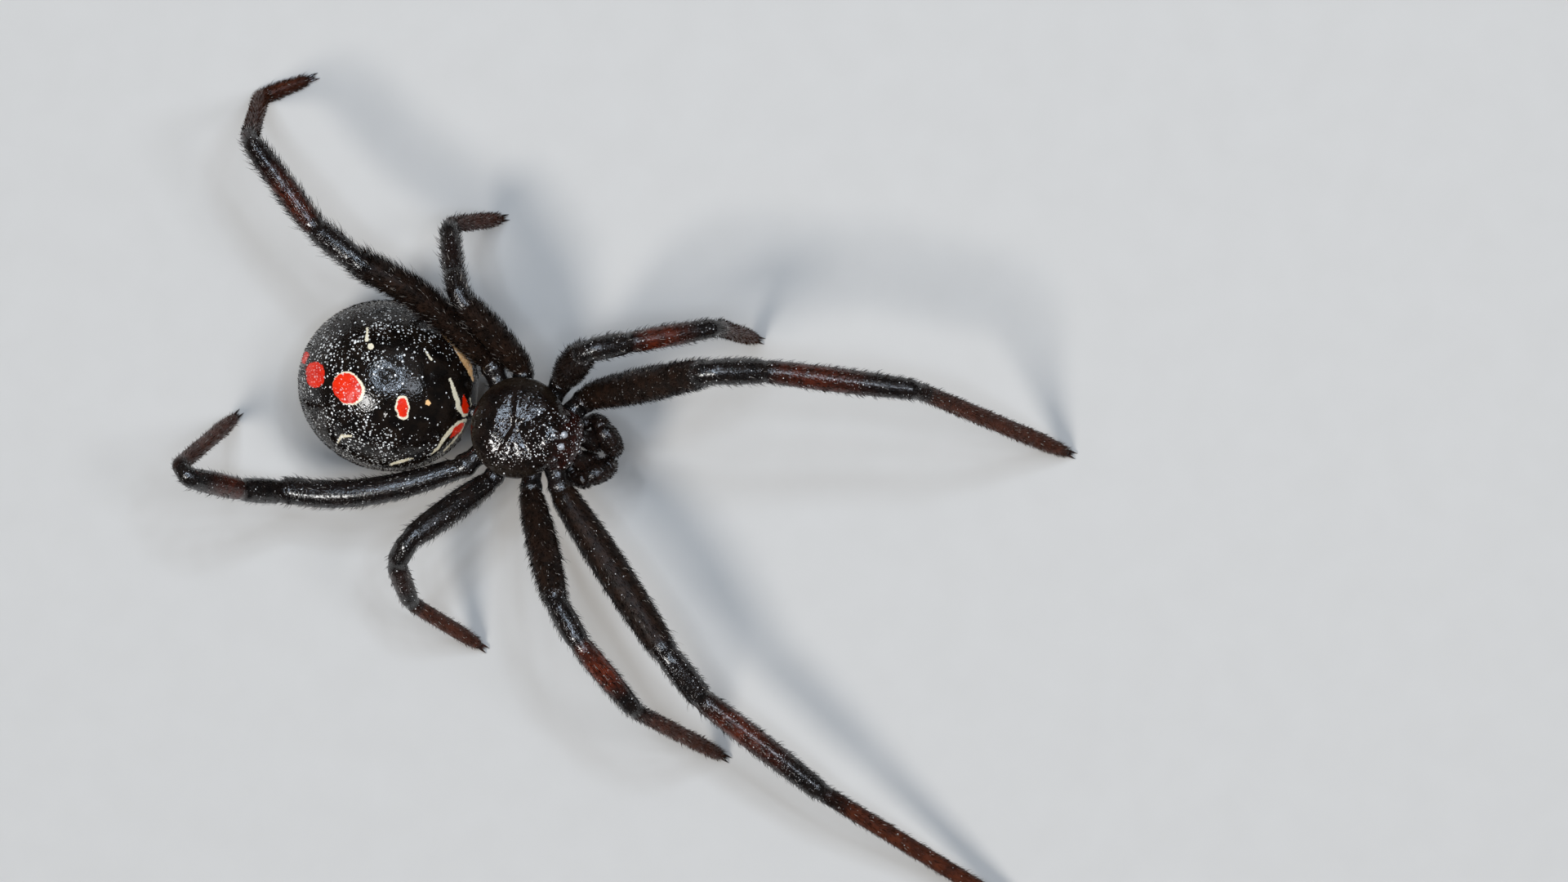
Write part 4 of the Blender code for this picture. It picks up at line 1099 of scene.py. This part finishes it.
def leg_joints(side, number):
    """The leg's joints from the root of the coxa to the tip of the foot."""
    turned = math.radians(COXA_WALL_ANGLES[number])
    forward = STERNUM_SIZES[0] * math.cos(turned)
    outward = STERNUM_SIZES[1] * math.sin(turned)
    normal = Vector((side * outward / STERNUM_SIZES[1]**2, -forward / STERNUM_SIZES[0]**2, 0)).normalized()
    root = at(side, STERNUM_CENTRE[0] + forward, outward, COXA_HEIGHT) - normal * COXA_ROOT_SINK
    joints = [root, at(side, *HIPS[number])]
    pose = POSE[side, number]
    tarsus_drop = LENGTHS[number][-1] * math.sin(math.radians(pose[-1][1]))
    for (heading, pitch), length in zip(pose, LENGTHS[number]):
        if pitch is None:
            pitch = math.degrees(math.asin((TIP_HEIGHT - tarsus_drop - joints[-1].z) / length))
        joints.append(joints[-1] + heading_direction(side, heading, pitch) * length)
    return joints


def half_corner(joint, arriving, leaving, parts, trim, tightest):
    """Part of a rounded corner."""
    turn = arriving.angle(leaving, 0.0)
    inward = leaving - arriving * leaving.dot(arriving)
    if turn < LEAST_TURN or inward.length == 0:
        return [joint + arriving * trim * (2 * part - 1) for part in parts]
    inward.normalize()
    trim = max(trim, tightest * math.tan(turn / 2))
    bend = trim / math.tan(turn / 2)
    start = joint - arriving * trim
    return [start + arriving * bend * math.sin(turn * part) + inward * bend * (1 - math.cos(turn * part))
            for part in parts]


def article_line(joints, index, stout, bow):
    """The middle line of one article, between the middles of its two corners."""
    start, end = joints[index], joints[index + 1]
    along = (end - start).normalized()
    trim = CORNER_TRIM * stout
    before = [0.5 + part / 16 for part in range(9)]
    after = [part / 16 for part in range(9)]
    head = [start]
    if index > 0:
        arriving = (start - joints[index - 1]).normalized()
        tightest = OPEN_BEND * RADII[ARTICLES[index - 1]][0] * stout
        head = half_corner(start, arriving, along, before, trim, tightest)
    tail = [end]
    if index + 2 < len(joints):
        leaving = (joints[index + 2] - end).normalized()
        tightest = OPEN_BEND * RADII[ARTICLES[index]][0] * stout
        tail = half_corner(end, along, leaving, after, trim, tightest)
    middle = []
    for k in range(1, 24):
        t = k / 24
        middle.append(head[-1].lerp(tail[0], t) + bow * 4 * t * (1 - t))
    return head + middle + tail


def leg_radius(number, article, fraction):
    """The radius of a leg's article at a fraction of its length."""
    stout = STOUTNESS[number]
    if article == 0:
        return numpy.interp(fraction, COXA_PARTS, COXA_RADII) * stout
    if article >= 4:
        stout = max(stout, THINNEST_FOOT)
    radii = HIND_FEMUR_RADII if (number, article) == (4, 1) else RADII[ARTICLES[article - 1]]
    return through(*radii, fraction) * stout


def leg_course(side, number):
    """Evenly spaced places along a leg, with the article number and fraction of each, and its radius."""
    joints = leg_joints(side, number)
    stout = STOUTNESS[number]
    outward_bow, upward_bow = FEMUR_BOW.get((side, number), USUAL_BOW)
    line, starts = [], []
    for index in range(6):
        bow = Vector((side * outward_bow, 0, upward_bow)) if index == 1 else Vector((0, 0, 0))
        starts.append(len(line))
        path = article_line(joints, index, stout, bow)
        line += path if index == 0 else path[1:]
    line = numpy.array(line)
    travelled = numpy.concatenate(([0.0], numpy.cumsum(numpy.linalg.norm(numpy.diff(line, axis=0), axis=1))))
    bounds = [travelled[max(start - 1, 0)] for start in starts] + [travelled[-1]]
    places, distance = even_steps(line, LEG_RING_STEP)
    along_parts = numpy.interp(distance, bounds, numpy.arange(7))
    radii = numpy.zeros(len(distance))
    for article in range(6):
        inside = (along_parts >= article) & (along_parts <= article + 1)
        radii[inside] = leg_radius(number, article, along_parts[inside] - article)
    for article in range(1, 6):
        gap = distance - bounds[article]
        shrink = 0.16 if article < 5 else 0.05
        radii *= 1 - shrink * bell(gap, 0.07) + 0.05 * bell(numpy.abs(gap) - 0.17, 0.08)
    blend = numpy.convolve(numpy.pad(radii, 2, mode="edge"), numpy.ones(5) / 5, mode="valid")
    tip = distance[-1] - distance
    blend *= numpy.sqrt(numpy.clip(tip / 0.16, 0.04, 1))
    return places, distance, along_parts, blend


def make_leg(side, number):
    """One leg's skin, its claws and its coat."""
    stem = SIDE_NAMES[side] + "_" + str(number)
    places, distance, along_parts, radii = leg_course(side, number)
    along, across, over = carried_frames(places)
    points, spokes = tube_points(places, across, over, radii, LEG_SIDES)
    points[:, :, 2] = numpy.maximum(points[:, :, 2], 0.0)
    mesh = make_mesh("leg_" + stem + "_skin", points.reshape(-1, 3), tube_faces(len(places), LEG_SIDES))
    store(mesh, "along", numpy.repeat(along_parts, LEG_SIDES))
    store(mesh, "rust", numpy.full(points.shape[:2], RUST_BANDS[side, number]))
    store(mesh, "matt", numpy.full(points.shape[:2], MATT_FEMORA[side, number]))
    nodes = ["leg_" + stem + "_" + part for part in ("coxa", "femur", "patella", "tibia", "foot")]
    show(mesh, LEG_SKIN, nodes)
    mesh.materials.append(MATT_LEG_SKIN)
    matt = (along_parts >= 4.03) | ((along_parts > 1.0) & (along_parts < 1.93) & (MATT_FEMORA[side, number] > 0.5))
    rings = numpy.append(numpy.repeat(matt[:-1], LEG_SIDES), (False, True))
    mesh.polygons.foreach_set("material_index", rings.astype(numpy.int32))
    make_leg_hair(side, number, places, distance, along_parts, radii, along, across, over)
    make_claws(stem, places[-1], along[-1])


# How red the band of each tibia is, and how matt each femur is
RUST_BANDS = {(LEFT, 1): 0.45, (LEFT, 2): 0.60, (LEFT, 3): 0.05, (LEFT, 4): 0.45,
              (RIGHT, 1): 0.50, (RIGHT, 2): 0.85, (RIGHT, 3): 0.10, (RIGHT, 4): 0.45}
MATT_FEMORA = {(LEFT, 1): 1.0, (LEFT, 2): 0.8, (LEFT, 3): 0.9, (LEFT, 4): 1.0,
               (RIGHT, 1): 1.0, (RIGHT, 2): 0.8, (RIGHT, 3): 0.1, (RIGHT, 4): 0.0}

# Hairs to a square millimetre, and their length, on each article from coxa to tarsus
HAIR_DENSITY = (30, 150, 60, 95, 160, 240)
HAIR_LENGTH = (0.13, 0.19, 0.19, 0.18, 0.14, 0.13)
# How dense the coat of each leg is against that
HAIR_SHARE = {(LEFT, 1): 1.1, (LEFT, 2): 1.1, (LEFT, 3): 1.5, (LEFT, 4): 1.7,
              (RIGHT, 1): 1.1, (RIGHT, 2): 1.2, (RIGHT, 3): 0.6, (RIGHT, 4): 0.6}
LONG_COATS = {(LEFT, 3): 1.3, (LEFT, 4): 1.5, (RIGHT, 2): 1.1}


def make_leg_hair(side, number, places, distance, along_parts, radii, along, across, over):
    """Dense short hairs that lean towards the foot, with a few long bristles."""
    random = numpy.random.default_rng(SEED + 10 * number + side)
    article = numpy.clip(along_parts.astype(int), 0, 5)
    density = numpy.array(HAIR_DENSITY)[article] * HAIR_SHARE.get((side, number), 1.0)
    area = 2 * math.pi * radii * numpy.gradient(distance)
    expected = density * area * ramp(along_parts, 0.35, 0.6)
    count = int(expected.sum())
    spread = numpy.concatenate(([0.0], numpy.cumsum(expected)))
    spots = numpy.interp(random.uniform(0, spread[-1], count), spread, numpy.arange(len(spread)) - 0.0)
    spots = numpy.clip(spots, 0, len(places) - 1.001)
    low = spots.astype(int)
    part = (spots - low)[:, None]

    def course(values):
        values = values if values.ndim == 2 else values[:, None]
        return values[low] * (1 - part) + values[low + 1] * part

    turns = random.uniform(0, 2 * math.pi, count)
    spoke = course(across) * numpy.cos(turns)[:, None] + course(over) * numpy.sin(turns)[:, None]
    toward = course(along)
    roots = course(places) + spoke * (course(radii) - 0.008)
    where = course(along_parts)[:, 0]
    steepness = random.uniform(0.30, 0.60, count)[:, None]
    growth = jitter(toward * (1 - steepness) + spoke * steepness, 0.08, random)
    lengths = numpy.interp(where, numpy.arange(6) + 0.5, HAIR_LENGTH) * random.uniform(0.6, 1.2, count)
    lengths *= numpy.where(where < 4, LONG_COATS.get((side, number), 1.0), 1.0)
    widths = random.uniform(0.0052, 0.0078, count)
    bristle = random.random(count) < 0.045
    lengths[bristle] *= 1.6
    widths[bristle] *= 1.3
    map_places = numpy.stack([0.01 + 0.98 * turns / (2 * math.pi),
                              0.01 + 0.98 * course(distance)[:, 0] / distance[-1]], axis=1)
    name = "leg_" + SIDE_NAMES[side] + "_" + str(number) + "_coat"
    # The pale value picks the few hairs painted pale as glints.
    values = {"along": where, "pale": random.random(count)}
    show(make_hairs(name, roots, growth, toward, lengths, widths, map_places, values), LEG_HAIR)


def make_claws(stem, tip, along):
    """Two curved claws with a shorter hook between them."""
    level = Vector((along[0], along[1], 0)).normalized()
    sideways = level.cross(Vector((0, 0, 1)))
    tip, along = Vector(tip), Vector(along)
    points, faces = [], []
    for spread, length in ((-1, 0.27), (1, 0.27), (0, 0.16)):
        root = tip - along * 0.12 + sideways * spread * 0.05
        bend = tip + level * length * 0.5 + sideways * spread * 0.075 + Vector((0, 0, 0.03))
        end = tip + level * length + sideways * spread * 0.085
        end.z = 0.02
        places, distance = even_steps(smooth_line([root, bend, end], 8), 0.02)
        _, across, over = carried_frames(places)
        radii = 0.045 * (1 - (distance / distance[-1]) ** 1.6) + 0.004
        ring_points, _ = tube_points(places, across, over, radii, 12)
        ring_points[:, :, 2] = numpy.maximum(ring_points[:, :, 2], 0.0)
        offset = len(points)
        points += ring_points.reshape(-1, 3).tolist()
        faces += [tuple(index + offset for index in face) for face in tube_faces(len(places), 12)]
    show(make_mesh("claws_" + stem, points, faces), HORN)


# Jaws and feelers


def make_limb(name, route, radii, joints, side, sides, swell):
    """A short limb along a route, pinched at its joints. Gives its course for the hair."""
    swing = Vector((JAW_SWING, 0, 0))
    points = [at(side, *place) + swing * min(i, 1) for i, place in enumerate(route)]
    line = smooth_line(points, 12)
    places, distance = even_steps(line, 0.03)
    along, across, over = carried_frames(places)
    part = distance / distance[-1] * (len(route) - 1)
    thickness = numpy.interp(part, numpy.arange(len(route)), radii)
    for joint in joints:
        thickness *= 1 - 0.16 * bell(part - joint, 0.07) + 0.05 * bell(numpy.abs(part - joint) - 0.2, 0.1)
    thickness *= 1 + swell * numpy.sin(math.pi * (part % 1.0))
    tip = distance[-1] - distance
    thickness *= numpy.sqrt(numpy.clip(tip / 0.14, 0.05, 1))
    points, _ = tube_points(places, across, over, thickness, sides)
    return make_mesh(name, points.reshape(-1, 3), tube_faces(len(places), sides)), places, distance, \
        thickness, along, across, over


def make_limb_hair(name, course, density, length, start_part):
    """Bristles over a jaw or a feeler."""
    places, distance, thickness, along, across, over = course
    random = numpy.random.default_rng(SEED + len(name))
    area = 2 * math.pi * thickness * numpy.gradient(distance)
    expected = density * area * ramp(distance / distance[-1], start_part, start_part + 0.15)
    count = int(expected.sum())
    spread = numpy.concatenate(([0.0], numpy.cumsum(expected)))
    spots = numpy.interp(random.uniform(0, spread[-1], count), spread, numpy.arange(len(spread)) * 1.0)
    low = numpy.clip(spots, 0, len(places) - 1).astype(int)
    turns = random.uniform(0, 2 * math.pi, count)
    spoke = across[low] * numpy.cos(turns)[:, None] + over[low] * numpy.sin(turns)[:, None]
    roots = places[low] + spoke * (thickness[low] - 0.008)[:, None]
    roots += along[low] * random.uniform(-0.015, 0.015, count)[:, None]
    steepness = random.uniform(0.25, 0.60, count)[:, None]
    growth = jitter(along[low] * (1 - steepness) + spoke * steepness, 0.10, random)
    lengths = length * random.uniform(0.6, 1.35, count)
    widths = random.uniform(0.007, 0.010, count)
    map_places = numpy.stack([0.01 + 0.98 * turns / (2 * math.pi),
                              0.01 + 0.98 * distance[low] / distance[-1]], axis=1)
    show(make_hairs(name, roots, growth, along[low], lengths, widths, map_places), BODY_HAIR)


def make_jaw(side):
    """One chelicera with its fang."""
    side_name = SIDE_NAMES[side]
    mesh, *course = make_limb("chelicera_" + side_name + "_skin", CHELICERA_ROUTE, CHELICERA_RADII, (), side,
                              40, 0.05)
    show(mesh, JAW_SKIN, ["chelicera_" + side_name])
    make_limb_hair("chelicera_" + side_name + "_coat", course, 300, 0.12, 0.30)
    tip = Vector(course[0][-1])
    fang_line = smooth_line([tip + Vector((0, 0, 0.08)), tip + at(side, 0.10, -0.02, -0.10) - HOME,
                             tip + at(side, -0.12, -0.12, -0.20) - HOME], 10)
    places, distance = even_steps(fang_line, 0.02)
    _, across, over = carried_frames(places)
    radii = 0.075 * (1 - distance / distance[-1]) ** 0.8 + 0.006
    points, _ = tube_points(places, across, over, radii, 20)
    show(make_mesh("fang_" + side_name, points.reshape(-1, 3), tube_faces(len(places), 20)), HORN)


def make_feeler(side):
    """One palp with its bristles."""
    side_name = SIDE_NAMES[side]
    mesh, *course = make_limb("palp_" + side_name + "_skin", PALP_ROUTE, PALP_RADII, (1.0, 2.0, 3.0), side,
                              36, 0.10)
    show(mesh, JAW_SKIN, ["palp_" + side_name])
    make_limb_hair("palp_" + side_name + "_coat", course, 520, 0.11, 0.2)


def make_shield_hair(cephalothorax):
    """Sparse bristles over the carapace, lying forwards and outwards, and a few between the eyes."""
    random = numpy.random.default_rng(SEED + 7)
    tree = surface_tree(cephalothorax)
    roots, outwards, spots = [], [], []
    for _ in range(1500):
        forward = random.uniform(-1.6, 1.55)
        left = random.uniform(-1.5, 1.5)
        if abs(left) > float(shield_half_width(numpy.array(forward))) * 0.97:
            continue
        start = at(LEFT, forward, left, 6.0) * MM
        hit, normal, _, _ = tree.ray_cast(start, Vector((0, 0, -1)))
        if hit is None or hit.z / MM < SHIELD_RIM_HEIGHT - 0.1:
            continue
        roots.append(hit / MM)
        outwards.append(normal)
        spots.append((0.5 + left / 3.4, 0.5 + forward / 3.6))
    roots, outwards = numpy.array(roots), numpy.array(outwards)
    forward_way = numpy.tile((0.0, -1.0, 0.0), (len(roots), 1))
    growth = jitter(outwards * 0.55 + forward_way * 0.6, 0.15, random)
    lengths = random.uniform(0.06, 0.15, len(roots))
    widths = random.uniform(0.006, 0.009, len(roots))
    mesh = make_hairs("carapace_coat", roots, growth, forward_way, lengths, widths, numpy.array(spots))
    show(mesh, BODY_HAIR)


# Stage, lights and camera


def make_floor():
    """A plain pale floor."""
    mesh = make_mesh("floor", [(-900, -900, 0), (900, -900, 0), (900, 900, 0), (-900, 900, 0)], [(0, 1, 2, 3)])
    material, recipe, shader = new_material("floor_paper")
    place = millimetre_place(recipe)
    tone = recipe.noise(place, 0.8, 4.0)
    recipe.feed(shader.inputs["Base Color"], recipe.mix(tone, colour(0.505, 0.478, 0.445), colour(0.535, 0.508, 0.475)))
    shader.inputs["Roughness"].default_value = 0.85
    floor = bpy.data.objects.new("floor", mesh)
    bpy.context.scene.collection.objects.link(floor)
    mesh.materials.append(material)


def make_light(name, place, target, size, power, tint):
    """A soft round light that looks at a place on the model; it doesn't show to the camera."""
    lamp = bpy.data.lights.new(name, "AREA")
    lamp.shape = "DISK"
    lamp.size = size * MM
    lamp.energy = power
    lamp.color = tint
    light = bpy.data.objects.new(name, lamp)
    light.location = place * MM
    light.rotation_euler = (target - place).to_track_quat("-Z", "Y").to_euler()
    light.visible_camera = False
    bpy.context.scene.collection.objects.link(light)


RING_LAMPS = 12
RING_HEIGHT, RING_RADIUS, RING_LAMP_SIZE, RING_LEAN = 230.0, 66.0, 18.0, 49.0
SIDE_LEAN, SIDE_DISTANCE, SIDE_SIZE = 29.0, 240.0, 70.0


def make_sun(name, lean, heading, strength, spread, tint):
    """Even light from far away, leaning from the vertical towards a heading in the picture."""
    lamp = bpy.data.lights.new(name, "SUN")
    lamp.energy = strength
    lamp.angle = math.radians(spread)
    lamp.color = tint
    light = bpy.data.objects.new(name, lamp)
    source = Vector((0, 0, math.cos(math.radians(lean))))
    turned = math.radians(heading)
    source += (VIEW_RIGHT * math.cos(turned) + VIEW_UP * math.sin(turned)) * math.sin(math.radians(lean))
    light.rotation_euler = source.to_track_quat("Z", "Y").to_euler()
    bpy.context.scene.collection.objects.link(light)


def make_lights():
    """A bluish ring of lamps overhead, one beside it, a key from the picture's lower left and a
    wide soft fill."""
    middle = at(LEFT, 0, 0, 3)
    centre = middle + VIEW_UP * RING_LEAN
    for k in range(RING_LAMPS):
        turn = 2 * math.pi * k / RING_LAMPS
        place = centre + Vector((math.cos(turn) * RING_RADIUS, math.sin(turn) * RING_RADIUS, RING_HEIGHT))
        make_light("ring_" + str(k), place, middle, RING_LAMP_SIZE, 0.0340, (0.70, 0.83, 1.0))
    side_way = Vector((0, 0, math.cos(math.radians(SIDE_LEAN))))
    side_way += VIEW_RIGHT * math.sin(math.radians(SIDE_LEAN))
    make_light("side", middle + side_way * SIDE_DISTANCE, middle, SIDE_SIZE, 0.085, (0.80, 0.88, 1.0))
    make_sun("key", 34, 220, 1.9, 18, (1.0, 0.99, 0.97))
    make_sun("fill", 20, 60, 0.25, 60, (0.95, 0.97, 1.0))
    world = bpy.data.worlds.new("studio")
    world.use_nodes = True
    background = world.node_tree.nodes["Background"]
    background.inputs["Color"].default_value = (0.80, 0.81, 0.83, 1)
    background.inputs["Strength"].default_value = 0.10
    bpy.context.scene.world = world
    bpy.context.scene.view_settings.view_transform = "Standard"


def make_camera():
    """The photo's camera: straight overhead, with the same scale and turn."""
    lens = bpy.data.cameras.new("camera")
    lens.sensor_width = SENSOR_WIDTH
    lens.lens = SENSOR_WIDTH * (CAMERA_HEIGHT - VIEW_PLANE_HEIGHT) / VIEW_WIDTH
    lens.clip_start = 0.001
    camera = bpy.data.objects.new("camera", lens)
    camera.location = at(LEFT, CAMERA_FORWARD, CAMERA_LEFT, CAMERA_HEIGHT) * MM
    camera.rotation_euler = (0, 0, CAMERA_TURN - math.pi / 2)
    bpy.context.scene.collection.objects.link(camera)
    bpy.context.scene.camera = camera


cephalothorax = make_cephalothorax()
make_lenses()
make_abdomen()
make_abdomen_hair()
make_waist()
make_spinnerets()
for side in SIDE_NAMES:
    make_jaw(side)
    make_feeler(side)
    for number in HIPS:
        make_leg(side, number)
make_shield_hair(cephalothorax)
make_floor()
make_lights()
make_camera()
